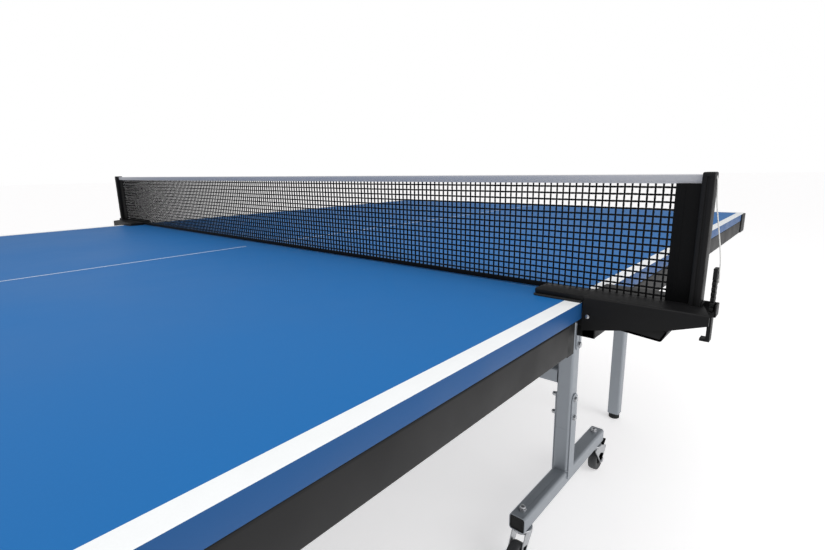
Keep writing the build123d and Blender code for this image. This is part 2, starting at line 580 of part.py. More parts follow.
def brake_pedal():
    """Foot pedal: a pad outside the wheel and a shoe that meets the tyre when it is pressed."""
    pivot = Vector(CASTOR_TRAIL + PEDAL_DX, 0, WHEEL_R + PEDAL_DZ)
    half = PEDAL_W / 2
    outline = Pos(pivot.X, pivot.Z) * Circle(PEDAL_BARREL_R)
    arm = Pos(pivot.X + 11, pivot.Z + 5) * Rot(0, 0, PEDAL_ARM_ANGLE) * Rectangle(PEDAL_ARM, PEDAL_T)
    shoe_mid = WHEEL_R + PEDAL_T / 2 + SHOE_GAP
    shoe_z = pivot.Z - PEDAL_SHOE_DROP
    shoe_x = CASTOR_TRAIL + (shoe_mid ** 2 - (shoe_z - WHEEL_R) ** 2) ** 0.5
    shoe = make_hull((Pos(pivot.X, pivot.Z) * Circle(PEDAL_T / 2)).edges()
                     + (Pos(shoe_x, shoe_z) * Circle(PEDAL_T / 2)).edges())
    outline = outline + arm + shoe - Pos(pivot.X, pivot.Z) * Circle(PEDAL_PIN_R + RUN_FIT)
    pressed = slab_y(outline, -half, half)
    about = Axis(pivot, (0, 1, 0))
    return [pressed.rotate(about, -PEDAL_TRAVEL)]


# ---- Tilt latch ------------------------------------------------------------------------------
def latch_hooks():
    """Hooks that lock the half in the playing position, shown released, joined by a release bar."""
    y1 = -POST_OUT_Y - LUG_T - 0.5
    y0 = y1 - LATCH_T
    inner = LATCH_REACH + LATCH_PIN_R + LATCH_NOSE_GAP
    outer = inner + LATCH_NOSE_T
    ring = Circle(outer) - Circle(inner)
    nose = ring & make_face(Polyline((0, 0), (2 * outer, 2 * outer), (-outer / 4, 2 * outer), close=True))
    web = Rot(0, 0, 45) * Pos(outer / 2, 0) * Rectangle(outer, 12)
    hook = Rot(0, 0, -LATCH_SWING) * (nose + (web & Circle(outer)))
    handle = Rot(0, 0, LATCH_HANDLE_ANGLE) * SlotCenterPoint((LATCH_HANDLE / 2, 0), (LATCH_HANDLE, 0), 16)
    outline = (hook + handle + Circle(10)) - Circle(LATCH_PIN_R + RUN_FIT)
    lever = slab_y(Pos(LATCH_X, LATCH_Z) * outline, y0, y1)
    bar_at = Vector(LATCH_HANDLE, 0, 0).rotate(Axis.Y, -LATCH_HANDLE_ANGLE)
    bar = rod_y(LATCH_X + bar_at.X, LATCH_Z + bar_at.Z, RELEASE_BAR_R, y1, -y1)
    bar -= rod_y(LATCH_X + bar_at.X, LATCH_Z + bar_at.Z, RELEASE_BAR_R - 1.5, y1, -y1)
    return both_sides([lever]) + [bar]


# ---- Net set, modelled on the -Y side and mirrored ----------------------------------------------
def clamp_arm():
    """The channel that carries a net post: its cheeks stand outside the table's side."""
    side_y = HALF_WID + ARM_SIDE_GAP
    top_low = TABLE_HEIGHT + ARM_PAD_T
    top_high = top_low + ARM_SHEET
    plate = block(-ARM_HALF_W, ARM_HALF_W, -ARM_OUTER_Y, -side_y, top_low, top_high)
    plate += block(-ARM_HALF_W, -NET_EDGE_X - SEAM_CLEAR, -side_y, -ARM_INNER_Y, top_low, top_high)
    plate -= block(
        -RACK_W / 2 - RACK_SLOT_GAP, RACK_W / 2 + RACK_SLOT_GAP,
        -RACK_Y - RACK_T / 2 - RACK_SLOT_GAP, -RACK_Y + RACK_T / 2 + RACK_SLOT_GAP,
        top_low - 1, top_high + 1,
    )
    outline = make_face(Polyline(
        (-side_y, TABLE_HEIGHT - ARM_DROP_IN), (-side_y, top_high), (-ARM_OUTER_Y, top_high),
        (-ARM_OUTER_Y, TABLE_HEIGHT - ARM_DROP_OUT),
        (-ARM_OUTER_Y + ARM_BEND_IN, TABLE_HEIGHT - ARM_DROP_MID), close=True,
    ))
    outline -= Pos(-JAW_PIN_Y, JAW_PIN_Z) * Circle(JAW_PIN_R)
    arm = plate + slab_x(outline, -ARM_HALF_W, -ARM_HALF_W + ARM_SHEET)
    return arm + slab_x(outline, ARM_HALF_W - ARM_SHEET, ARM_HALF_W)


def clamp_arms():
    """Both arms, the jaw pins riveted through them and the guide blocks beside the racks."""
    pin = rod_x(-JAW_PIN_Y, JAW_PIN_Z, JAW_PIN_R, -ARM_HALF_W, ARM_HALF_W)
    pin += rod_x(-JAW_PIN_Y, JAW_PIN_Z, JAW_PIN_R + 1.5, -ARM_HALF_W - 1.2, -ARM_HALF_W)
    pin += rod_x(-JAW_PIN_Y, JAW_PIN_Z, JAW_PIN_R + 1.5, ARM_HALF_W, ARM_HALF_W + 1.2)
    top = TABLE_HEIGHT + ARM_PAD_T + ARM_SHEET
    guide = block(-RACK_W / 2 - 2, RACK_W / 2 + 2, -NET_POST_OUT - 5, -NET_POST_OUT, top, top + 7)
    return both_sides([clamp_arm(), pin, guide])


def net_posts():
    """Grooved uprights standing on the arms, with rounded top caps."""
    low = TABLE_HEIGHT + ARM_PAD_T + ARM_SHEET
    high = TABLE_HEIGHT + NET_H
    y0 = -NET_POST_OUT
    y1 = y0 + NET_POST_W
    half = NET_POST_D / 2
    post = block(-half, half, y0, y1, low, high + NET_POST_CAP)
    post = fillet(post.edges().group_by(Axis.Z)[-1].filter_by(Axis.X), NET_POST_CAP)
    middle = (y0 + y1) / 2
    for side in (-1, 1):
        face = side * half
        post -= block(face, face - side * GROOVE_D, middle - GROOVE_W / 2, middle + GROOVE_W / 2, low, high)
    return both_sides([post])


def net_tape():
    """The white tape sewn over the net's head line."""
    end = NET_POST_OUT - NET_POST_W - SLEEVE_W
    top = TABLE_HEIGHT + NET_H
    return [block(-TAPE_T / 2, TAPE_T / 2, -end, end, top - TAPE_H, top)]


def net_mesh():
    """The knotted net between its tapes, as the thin panel that it fills."""
    end = NET_POST_OUT - NET_POST_W - SLEEVE_W
    low = TABLE_HEIGHT + NET_FLOAT + BAND_H
    return [block(-MESH_T / 2, MESH_T / 2, -end, end, low, TABLE_HEIGHT + NET_H - TAPE_H)]


def net_trim():
    """Lower band, end sleeves and the pads between the arms and the board."""
    end = NET_POST_OUT - NET_POST_W - SLEEVE_W
    low = TABLE_HEIGHT + NET_FLOAT
    side_y = HALF_WID + ARM_SIDE_GAP - SEAM_CLEAR
    sleeve_low = TABLE_HEIGHT + ARM_PAD_T + ARM_SHEET
    band = block(-BAND_T / 2, BAND_T / 2, -side_y, side_y, low, low + BAND_H)
    band += block(-BAND_T / 2, BAND_T / 2, -end, end, sleeve_low, low + BAND_H)
    sleeve = block(-SLEEVE_T / 2, SLEEVE_T / 2, -end - SLEEVE_W, -end, sleeve_low, TABLE_HEIGHT + NET_H)
    pad = block(
        -ARM_HALF_W, -NET_EDGE_X - SEAM_CLEAR, -HALF_WID, -ARM_INNER_Y,
        TABLE_HEIGHT, TABLE_HEIGHT + ARM_PAD_T,
    )
    return both_sides([sleeve, pad]) + [band]


def beyond_pin(out, rise):
    """A point in Y and Z, measured outwards and upwards from the jaw's pin."""
    return (-JAW_PIN_Y - out, JAW_PIN_Z + rise)


def jaw_outline():
    """Side view of a jaw in Y and Z: the pad, the pivot boss and the squeeze handle."""
    low = UNDERSIDE_Z - JAW_PAD_H - JAW_PIN_Z
    side = HALF_WID + ARM_SIDE_GAP - JAW_PIN_Y
    return make_face(Polyline(
        beyond_pin(side, low), beyond_pin(JAW_BOSS_OUT, low), beyond_pin(JAW_BOSS_OUT, -JAW_RISE - 1),
        beyond_pin(HANDLE_ROOT[0], -HANDLE_ROOT[1]), beyond_pin(HANDLE_HEEL[0], -HANDLE_HEEL[1]),
        beyond_pin(HANDLE_TIP[0], -HANDLE_TIP[1]), beyond_pin(*HANDLE_BACK),
        beyond_pin(2 * JAW_PIN_R, JAW_RISE), beyond_pin(side, JAW_RISE), close=True,
    ))


def handle_floor():
    """Side view of the sheet that joins the jaw's cheeks along the squeeze handle's underside."""
    return make_face(Polyline(
        beyond_pin(JAW_BOSS_OUT, -JAW_RISE - 1), beyond_pin(HANDLE_ROOT[0], -HANDLE_ROOT[1]),
        beyond_pin(HANDLE_HEEL[0], -HANDLE_HEEL[1]), beyond_pin(HANDLE_TIP[0], -HANDLE_TIP[1]),
        beyond_pin(HANDLE_TIP[0] - JAW_FLOOR, -HANDLE_TIP[1]),
        beyond_pin(HANDLE_HEEL[0] - 2, JAW_FLOOR - HANDLE_HEEL[1]),
        beyond_pin(HANDLE_ROOT[0], JAW_FLOOR - HANDLE_ROOT[1]),
        beyond_pin(JAW_BOSS_OUT, JAW_FLOOR - JAW_RISE - 1), close=True,
    ))


def net_jaw():
    """The lower jaw: two cheeks joined by the handle's floor, with the pad under the board's edge."""
    outer = ARM_HALF_W - ARM_SHEET - JAW_SIDE_GAP
    outline = jaw_outline() - Pos(-JAW_PIN_Y, JAW_PIN_Z) * Circle(JAW_PIN_R + RUN_FIT)
    jaw = slab_x(outline, -outer, -outer + JAW_SHEET) + slab_x(outline, outer - JAW_SHEET, outer)
    jaw += slab_x(handle_floor(), -outer, outer)
    low = UNDERSIDE_Z - JAW_PAD_H
    pad_top = UNDERSIDE_Z - JAW_PAD_GAP
    ledge_z = pad_top - JAW_PAD_LEDGE
    inner_x = -NET_EDGE_X - SEAM_CLEAR
    pad = block(-outer, inner_x, -JAW_PIN_Y - JAW_BOSS_OUT, -JAW_PAD_Y, low, ledge_z)
    pad += block(-outer, inner_x, -HALF_WID - ARM_SIDE_GAP, -JAW_PAD_Y, ledge_z, pad_top)
    return jaw + pad


def jaw_spring():
    """The torsion spring on the jaw's pin, as the sleeve that its close-wound coils fill."""
    inner = JAW_PIN_R + SPRING_FIT
    coils = rod_x(-JAW_PIN_Y, JAW_PIN_Z, inner + SPRING_WIRE, -SPRING_HALF_LEN, SPRING_HALF_LEN)
    return coils - rod_x(-JAW_PIN_Y, JAW_PIN_Z, inner, -SPRING_HALF_LEN - 1, SPRING_HALF_LEN + 1)


def tension_rack():
    """Notched strip that pulls the net's head cord down and holds it, with a hook at the bottom."""
    top = TABLE_HEIGHT + RACK_TOP_RISE
    low = top - RACK_LEN
    y0 = -RACK_Y - RACK_T / 2
    y1 = -RACK_Y + RACK_T / 2
    strip = block(-RACK_W / 2, RACK_W / 2, y0, y1, low, top)
    notch = Rot(0, 45, 0) * Box(RACK_NOTCH, 2 * RACK_T, RACK_NOTCH)
    for step in range(RACK_NOTCHES):
        z = top - RACK_NOTCH_START - step * RACK_NOTCH_PITCH
        for side in (-1, 1):
            strip -= Pos(side * RACK_W / 2, (y0 + y1) / 2, z) * notch
    eye = rod_y(0, top - 5, 1.6, y0 - 1, y1 + 1)
    hook = block(-RACK_W / 2, RACK_W / 2, y1, y1 + 6, low, low + 3)
    return strip - eye + hook


def tension_cord():
    """The head cord's end, from the net post's cap down to the rack."""
    start = Vector(0, -NET_POST_OUT - CORD_R - 0.2, TABLE_HEIGHT + NET_H)
    end = Vector(0, -RACK_Y, TABLE_HEIGHT + RACK_TOP_RISE + CORD_R / 2)
    plane = Plane(origin=start, z_dir=end - start)
    return extrude(plane * Circle(CORD_R), (end - start).length)


# ---- Build -----------------------------------------------------------------------------------
def castor_places():
    """Name, place, heading and brake of a half's castors: a wheel trails out past its beam's end."""
    return [
        ("1", STEM_XS[0], -POST_Y, 180, False),
        ("2", STEM_XS[1], -POST_Y, 0, True),
        ("3", STEM_XS[0], POST_Y, 180, False),
        ("4", STEM_XS[1], POST_Y, 0, True),
    ]


def build_half(letter, turn):
    """Write every sub-part of one half."""
    makers = {
        "board": board, "apron_rails": apron, "corner_guards": corner_guards, "underframe": underframe,
        "foot_beams": foot_beams, "post_frame": post_frame, "cheek_plates": cheek_plates,
        "pivot_lugs": pivot_lugs, "beam_plugs": beam_plugs, "chassis_fasteners": chassis_fasteners,
        "leg_frame": leg_frame, "rubber_feet": rubber_feet, "link_rods": link_rods,
    }
    for name, maker in makers.items():
        save(f"{name}_{letter}", [Rot(0, 0, turn) * piece for piece in maker()])
    save(f"latch_{letter}", [Rot(0, 0, turn) * piece for piece in latch_hooks()])
    for number, x, y, heading, braked in castor_places():
        place = Rot(0, 0, turn) * Pos(x, y, 0) * Rot(0, 0, heading)
        save(f"castor_fork_{letter}{number}", [place * piece for piece in castor_fork(braked)])
        save(f"castor_wheel_{letter}{number}", [place * piece for piece in castor_wheel()])
        if braked:
            save(f"brake_pedal_{letter}{number}", [place * piece for piece in brake_pedal()])


def build_net():
    """Write the net set; its arms grip half a, and "near" is the -Y side."""
    save("clamp_arms", clamp_arms())
    save("net_posts", net_posts())
    save("net_tape", net_tape())
    save("net_mesh", net_mesh())
    save("net_trim", net_trim())
    near = {
        "net_jaw": [net_jaw(), jaw_spring()],
        "tension_rack": [tension_rack()],
        "tension_cord": [tension_cord()],
    }
    for name, pieces in near.items():
        save(f"{name}_near", pieces)
        save(f"{name}_far", [mirror(piece, about=Plane.XZ) for piece in pieces])


os.makedirs("parts", exist_ok=True)
build_half("b", 0)
build_half("a", 180)
build_net()
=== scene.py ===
"""Looks of a roll-away table tennis table in two halves, with a clip-on net set."""
import json
import math

import bmesh
import bpy
from mathutils import Matrix, Vector, noise


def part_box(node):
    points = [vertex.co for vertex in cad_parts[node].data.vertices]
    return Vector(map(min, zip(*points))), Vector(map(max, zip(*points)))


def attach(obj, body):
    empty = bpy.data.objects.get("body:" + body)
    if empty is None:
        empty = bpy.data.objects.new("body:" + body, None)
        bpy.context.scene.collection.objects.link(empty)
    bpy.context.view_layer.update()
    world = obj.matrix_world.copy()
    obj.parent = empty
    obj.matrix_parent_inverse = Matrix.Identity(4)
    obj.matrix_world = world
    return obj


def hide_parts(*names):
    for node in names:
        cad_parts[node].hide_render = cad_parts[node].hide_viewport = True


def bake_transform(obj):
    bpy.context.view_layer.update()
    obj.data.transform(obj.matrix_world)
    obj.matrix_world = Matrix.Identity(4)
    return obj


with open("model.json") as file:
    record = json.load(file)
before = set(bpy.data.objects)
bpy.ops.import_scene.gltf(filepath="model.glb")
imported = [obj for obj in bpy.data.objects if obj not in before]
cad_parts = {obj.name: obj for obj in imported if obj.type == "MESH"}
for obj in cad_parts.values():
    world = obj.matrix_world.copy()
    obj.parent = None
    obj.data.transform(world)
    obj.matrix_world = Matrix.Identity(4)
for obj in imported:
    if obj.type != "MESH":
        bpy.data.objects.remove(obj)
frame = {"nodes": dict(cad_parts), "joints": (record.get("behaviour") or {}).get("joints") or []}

bl_info = {
    "name": "Table tennis table",
    "version": (1, 0, 0),
    "blender": (4, 5, 0),
    "location": "3D View > Sidebar > Table",
    "description": "Finishes and detailed pieces of a roll-away table tennis table",
    "category": "Object",
}

MM = 0.001
MICRON = 1e-6
WAVE_UNIT = 20  # a wave texture of scale 1 has this many radians per metre
# Shapes are drawn on half b's near side (+X, -Y); these matrices place them, the far side mirrored
BOTH_SIDES = (Matrix.Identity(4), Matrix.Scale(-1, 4, (0, 1, 0)))
HALVES = {"b": BOTH_SIDES, "a": tuple(Matrix.Rotation(math.pi, 4, "Z") @ m for m in BOTH_SIDES)}

BOARD_LO, BOARD_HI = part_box("board_b")
RAIL_LO, RAIL_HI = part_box("apron_rails_b")
POST_LO, POST_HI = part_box("post_frame_b")
BEAM_LO, BEAM_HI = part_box("foot_beams_b")
CHEEK_OUT_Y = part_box("cheek_plates_b")[1].y
LUG_OUT_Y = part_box("pivot_lugs_b")[1].y
FOOT_LO, FOOT_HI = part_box("rubber_feet_b")
NET_POST_LO, NET_POST_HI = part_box("net_posts")
NET_LO, NET_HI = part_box("net_mesh")
TAPE_LO, TAPE_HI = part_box("net_tape")
BAND_LOW_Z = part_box("net_trim")[0].z
ARM_OUT_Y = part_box("clamp_arms")[1].y
RACK_OUT_Y = -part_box("tension_rack_near")[0].y

TUBE = 40 * MM
TUBE_CORNER = 7 * MM
POST_X = (POST_LO.x + POST_HI.x) / 2
POST_Y = POST_HI.y - TUBE / 2
BEAM_TOP_Z = BEAM_LO.z + TUBE
CHEEK_IN_Y = 2 * POST_Y - CHEEK_OUT_Y
LUG_IN_Y = 2 * POST_Y - LUG_OUT_Y
SPLICE_BOLT_ZS = (290 * MM, 341 * MM)
LUG_BOLT_ZS = (490 * MM, 600 * MM)
SCREW_XS = (0.16, 0.45, 0.74, 1.03, 1.26)
LINK_PIN_IN_Y = 490.2 * MM
STEM_XS = (BEAM_LO.x + 28 * MM, BEAM_HI.x - 28 * MM)
NET_HALF = NET_HI.y
NET_TOP_Z = TAPE_HI.z


def joint_at(name):
    """Where a hinge of the frame turns, in metres."""
    return Vector(next(j["pos_m"] for j in frame["joints"] if j["name"] == name))


def srgb(code):
    """A hexadecimal sRGB colour as linear red, green and blue."""
    parts = [int(code[i:i + 2], 16) / 255 for i in (0, 2, 4)]
    return tuple(c / 12.92 if c <= 0.04045 else ((c + 0.055) / 1.055) ** 2.4 for c in parts)


def colour(name, code, description):
    return bpy.props.FloatVectorProperty(
        name=name, description=description, default=srgb(code), subtype="COLOR", size=3, min=0, max=1
    )


def length(name, value, description):
    return bpy.props.FloatProperty(
        name=name, description=description, default=value, unit="LENGTH", subtype="DISTANCE", min=0
    )


# Sizes and colours a user would change
class TableBoardSizes(bpy.types.PropertyGroup):
    side_line: length("Side line", 20 * MM, "Width of the painted side and end lines")
    centre_line: length("Centre line", 3 * MM, "Width of the painted centre line")
    centre_stop: length("Centre line stop", 48 * MM, "Distance from the net to the centre line's end")
    edge_radius: length("Edge radius", 1.2 * MM, "Easing of the board's edges")
    corner_cap: length("Corner cap", 60 * MM, "Reach of the black caps round the board's end corners")
    bend_radius: length("Bend radius", 2.6 * MM, "Radius of the apron's folded corners")
    sheet: length("Apron sheet", 2 * MM, "Thickness of the apron's sheet steel")


class TableNetSizes(bpy.types.PropertyGroup):
    pitch: length("Mesh pitch", 8.5 * MM, "Distance between the net's cords")
    cord_width: length("Cord width", 2.15 * MM, "Width of one net cord")
    cord_depth: length("Cord depth", 2.5 * MM, "Thickness of one net cord")
    knot: bpy.props.FloatProperty(name="Knot", description="Widening at each knot", default=1.2, min=1)
    wander: length("Wander", 0.25 * MM, "How far the cords stray from a true grid")
    stitch: length("Stitch", 3 * MM, "Length of one stitch on the head tape")
    stitch_pitch: length("Stitch pitch", 4.2 * MM, "Distance between stitches")
    head_cord: length("Head cord", 1.3 * MM, "Diameter of the white head cord")


class TableFrameSizes(bpy.types.PropertyGroup):
    edge_radius: length("Edge radius", 0.5 * MM, "Easing of the steel's cut edges")
    bolt_radius: length("Bolt radius", 4 * MM, "Radius of the splice and lug bolts")
    bead: length("Weld bead", 3 * MM, "Height of the weld bead at a stub's foot")


class TableFinishes(bpy.types.PropertyGroup):
    board: colour("Board", "1D6BAE", "Playing surface")
    # The edge band's darker blue is painted shade: the side faces catch less light than the top
    board_edge_painted_shade: colour("Board edge (painted shade)", "1C528A", "Band round the board's edge")
    board_under: colour("Underside", "3B4046", "Primer under the board")
    line: colour("Lines", "F1F3F4", "Painted lines")
    apron: colour("Apron", "1D1D1E", "Powder coat of the apron")
    frame_black: colour("Underframe", "232426", "Powder coat of the underframe")
    silver: colour("Silver grey", "979DA4", "Powder coat of posts, feet and legs")
    plastic: colour("Black plastic", "101112", "Plugs, guards and racks")
    clamp: colour("Clamp", "131314", "Powder coat of the clamps and net posts")
    zinc: colour("Zinc", "B6B8BB", "Plated fasteners and castor forks")
    wheel: colour("Tyre", "3E3F41", "Castor tyres")
    rubber: colour("Rubber", "151516", "Feet and pads")
    tape: colour("Head tape", "B4B5BA", "Woven tape over the net's top edge")
    net: colour("Net", "0D0D0E", "Net cords and lower band")
    cord: colour("Head cord", "E4E4E1", "Braided head cord")


# Node and mesh helpers
def add_node(tree, kind, inputs=None, **settings):
    """One shader node, with its settings, and its sockets set to values or linked to other sockets."""
    made = tree.nodes.new("ShaderNode" + kind)
    for key, value in settings.items():
        setattr(made, key, value)
    for key, value in (inputs or {}).items():
        if isinstance(value, bpy.types.NodeSocket):
            tree.links.new(value, made.inputs[key])
        else:
            made.inputs[key].default_value = value
    return made


def shaded(base, factor):
    """A linear colour made darker or lighter, with alpha."""
    return tuple(min(1.0, c * factor) for c in base) + (1.0,)


def surface(name, base, roughness, metallic=0.0, ior=1.5, mottle=0.06, mottle_mm=40.0, grain_mm=1.0,
            depth_mm=0.02, gloss_swing=0.06, coat=0.0, stretch=(1, 1, 1), weave=None):
    """A finish with slight colour variation, uneven gloss and a fine surface grain.
    The patterns' sizes are in millimetres on the real thing. weave is a cloth's thread spacing."""
    made = bpy.data.materials.new(name)
    made.use_nodes = True
    tree = made.node_tree
    tree.nodes.clear()
    place = add_node(tree, "TexCoord").outputs["Object"]
    place = add_node(tree, "Mapping", {"Vector": place, "Scale": stretch}).outputs["Vector"]
    blotch = add_node(tree, "TexNoise", {
        "Vector": place, "Scale": 1000 / mottle_mm, "Detail": 3.0, "Roughness": 0.55}).outputs["Fac"]
    grain = add_node(tree, "TexNoise", {
        "Vector": place, "Scale": 1000 / grain_mm, "Detail": 2.0, "Roughness": 0.6}).outputs["Fac"]
    both = add_node(tree, "Math", {0: blotch, 1: grain}, operation="ADD").outputs[0]
    height = grain
    if weave:
        turns = math.tau * 1000 / weave / WAVE_UNIT
        wave = {"Vector": place, "Scale": turns, "Distortion": 0.4}
        threads = [add_node(tree, "TexWave", wave, bands_direction=way).outputs["Fac"]
                   for way in ("Y", "Z")]
        height = add_node(tree, "Math", dict(enumerate(threads)), operation="MAXIMUM").outputs[0]
        both = add_node(tree, "Math", {0: both, 1: height}, operation="ADD").outputs[0]
    top = 3.0 if weave else 2.0
    ramp = add_node(tree, "MapRange", {
        "Value": both, "From Min": 0.3 * top, "From Max": 0.7 * top})
    tint = add_node(tree, "Mix", {
        0: ramp.outputs[0], 6: shaded(base, 1 - mottle), 7: shaded(base, 1 + mottle)}, data_type="RGBA")
    gloss = add_node(tree, "MapRange", {
        "Value": blotch, "From Min": 0.3, "From Max": 0.7,
        "To Min": roughness - gloss_swing, "To Max": roughness + gloss_swing})
    relief = add_node(tree, "Bump", {
        "Height": height, "Distance": depth_mm * MM, "Strength": 0.7}).outputs["Normal"]
    shader = add_node(tree, "BsdfPrincipled", {
        "Base Color": tint.outputs[2], "Roughness": gloss.outputs[0], "Metallic": metallic, "IOR": ior,
        "Coat Weight": coat, "Coat Roughness": 0.2, "Normal": relief})
    output = add_node(tree, "OutputMaterial")
    tree.links.new(shader.outputs["BSDF"], output.inputs["Surface"])
    return made


def finishes():
    """Every finish of the table, made once. What each one shows is in the comment beside it."""
    if "Lacquered playing surface" in bpy.data.materials:
        return {m["finish"]: m for m in bpy.data.materials if "finish" in m}
    f = bpy.context.scene.table_finishes
    made = {
        # Rolled lacquer on particle board: satin, with a faint orange peel
        "board": surface("Lacquered playing surface", f.board, 0.5, ior=1.22, mottle=0.025, mottle_mm=180,
                         grain_mm=1.8, depth_mm=0.012, gloss_swing=0.03),
        # Screen-printed line paint: slightly duller than the lacquer, and not quite even
        "line": surface("Line paint", f.line, 0.5, ior=1.3, mottle=0.02, mottle_mm=25, grain_mm=1.2,
                        depth_mm=0.015),
        # Edge band of melamine: smooth, glued on. Its blue is a darker copy of the lacquer's, painted shade
        # for the side faces, which catch less light than the top
        "edge": surface("Melamine edge band", f.board_edge_painted_shade, 0.45, ior=1.3, mottle=0.05, mottle_mm=60,
                        grain_mm=0.8),
        # Primer rolled over the board's underside: flat, with the panel's texture
        "under": surface("Primed underside", f.board_under, 0.7, mottle=0.12, mottle_mm=14, grain_mm=2.5,
                         depth_mm=0.06),
        # Polyester powder coat on folded sheet: satin, fine leathery pebble
        "apron": surface("Apron powder coat", f.apron, 0.52, ior=1.32, mottle=0.05, mottle_mm=70,
                         grain_mm=0.9, depth_mm=0.03),
        "black": surface("Underframe powder coat", f.frame_black, 0.5, grain_mm=0.9, depth_mm=0.03),
        "clamp": surface("Clamp powder coat", f.clamp, 0.5, ior=1.28, mottle=0.07, mottle_mm=18,
                         grain_mm=0.7, depth_mm=0.02),
        # Silver-grey powder coat with aluminium flake: half metallic, soft highlights
        "silver": surface("Silver powder coat", f.silver, 0.42, metallic=0.35, mottle=0.05, mottle_mm=35,
                          grain_mm=0.6, depth_mm=0.018),
        # Moulded polypropylene: dull, with spark-eroded grain
        "plastic": surface("Moulded polypropylene", f.plastic, 0.52, ior=1.3, mottle_mm=12, grain_mm=0.5,
                           depth_mm=0.03),
        # Bright zinc plate: metallic, cloudy gloss
        "zinc": surface("Zinc plate", f.zinc, 0.33, metallic=1.0, mottle=0.1, mottle_mm=5, grain_mm=0.8,
                        depth_mm=0.01, gloss_swing=0.1),
        # Moulded thermoplastic rubber: matt grey
        "wheel": surface("Tyre rubber", f.wheel, 0.66, mottle=0.08, mottle_mm=10, grain_mm=0.7,
                         depth_mm=0.04),
        "rubber": surface("Black rubber", f.rubber, 0.72, mottle=0.1, mottle_mm=9, grain_mm=0.9,
                          depth_mm=0.05),
        # Polyester webbing: threads 0.9 mm apart, drawn twice as coarse as real so that they show
        "tape": surface("Woven head tape", f.tape, 0.75, mottle=0.05, mottle_mm=30, grain_mm=0.5,
                        depth_mm=0.12, weave=0.9),
        # Twisted polyethylene cord: black, slightly shiny fibres
        "net": surface("Twisted net cord", f.net, 0.6, ior=1.2, mottle=0.25, mottle_mm=3, grain_mm=0.35,
                       depth_mm=0.08),
        # Braided polyester: white, matt, with strands
        "cord": surface("Braided head cord", f.cord, 0.7, mottle=0.08, mottle_mm=2, grain_mm=0.4,
                        depth_mm=0.1, stretch=(1, 1, 0.5), weave=0.8),
    }
    for key, material in made.items():
        material["finish"] = key
    return made


def placed(name, data):
    """A new object in the scene."""
    made = bpy.data.objects.new(name, data)
    bpy.context.scene.collection.objects.link(made)
    return made


def gather(target, part, places=(Matrix.Identity(4),), finish=None):
    """Add a shape to a piece at one or more places; a mirrored copy keeps its faces outwards."""
    if finish is not None:
        for face in part.faces:
            face.material_index = finish
    bmesh.ops.recalc_face_normals(part, faces=part.faces)
    carrier = bpy.data.meshes.new("carrier")
    for place in places:
        part.to_mesh(carrier)
        carrier.transform(place)
        if place.determinant() < 0:
            carrier.flip_normals()
        target.from_mesh(carrier)
    bpy.data.meshes.remove(carrier)
    part.free()


def finished(name, body, bm, materials, replaces=(), soften=35):
    """Turn a bmesh into a piece that rides on a body."""
    made = finishes()
    mesh = bpy.data.meshes.new(name)
    bm.to_mesh(mesh)
    bm.free()
    for key in materials:
        mesh.materials.append(made[key])
    mesh.polygons.foreach_set("use_smooth", [True] * len(mesh.polygons))
    mesh.set_sharp_from_angle(angle=math.radians(soften))
    piece = placed(name, mesh)
    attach(piece, body)
    if replaces:
        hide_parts(*replaces)
    return piece


def kept(node, finish, width=0.5 * MM, segments=2):
    """A piece of the frame that stays as it is, with eased edges, clean shading and its finish."""
    piece = frame["nodes"][node]
    mesh = piece.data
    mesh.materials.clear()
    mesh.materials.append(finishes()[finish])
    mesh.polygons.foreach_set("material_index", [0] * len(mesh.polygons))
    mesh.polygons.foreach_set("use_smooth", [True] * len(mesh.polygons))
    piece.modifiers.new("Joined faces", "WELD").merge_threshold = 2 * MICRON
    bevel = piece.modifiers.new("Eased edges", "BEVEL")
    bevel.width = width
    bevel.segments = segments
    bevel.limit_method = "ANGLE"
    bevel.angle_limit = math.radians(35)
    bevel.harden_normals = True
    piece.modifiers.new("Clean shading", "WEIGHTED_NORMAL").keep_sharp = True


def everything(bm):
    return bm.verts[:] + bm.edges[:] + bm.faces[:]


def new_verts(made):
    return [g for g in made if isinstance(g, bmesh.types.BMVert)]


def span(edge, axis="z"):
    """How far an edge reaches along an axis."""
    start, end = edge.verts
    return abs(getattr(start.co, axis) - getattr(end.co, axis))


def above(bm, z):
    """The edges that lie wholly above a height."""
    return [e for e in bm.edges if all(v.co.z > z for v in e.verts)]


def moved(x, y, z):
    return Matrix.Translation((x, y, z))


def bevel(bm, edges, offset, segments=2):
    bmesh.ops.bevel(bm, geom=list(edges), affect="EDGES", offset=offset, segments=segments,
                    profile=0.5, material=-1, clamp_overlap=True)


def bar(low, high, ease=0.4 * MM, segments=2):
    """A block between two corners, its edges eased."""
    bm = bmesh.new()
    bmesh.ops.create_cube(bm, size=1)
    low, high = Vector(low), Vector(high)
    bmesh.ops.scale(bm, vec=[abs(c) for c in high - low], verts=bm.verts)
    bmesh.ops.translate(bm, vec=(low + high) / 2, verts=bm.verts)
    if ease:
        bevel(bm, bm.edges[:], ease, segments)
    return bm


def plate(points, axis, low, high, rounds=None, ease=0.4 * MM, round_segments=6):
    """A flat outline with some corners rounded, made solid between two values along an axis.
    axis X takes points in Y and Z, Y takes X and Z, and Z takes X and Y."""
    bm = bmesh.new()
    slot = "XYZ".index(axis)

    def at(pair):
        co = list(pair)
        co.insert(slot, low)
        return co

    corners = [bm.verts.new(at(pair)) for pair in points]
    bm.faces.new(corners)
    for index, reach in (rounds or {}).items():
        bmesh.ops.bevel(bm, geom=[corners[index]], affect="VERTICES", offset=reach,
                        segments=round_segments, profile=0.5, material=-1)
    top = bmesh.ops.extrude_face_region(bm, geom=bm.faces[:])["geom"]
    move = Vector()
    move[slot] = high - low
    bmesh.ops.translate(bm, vec=move, verts=new_verts(top))
    if ease:
        bevel(bm, [e for e in bm.edges if span(e, axis.lower()) < MICRON], ease, 2)
    return bm


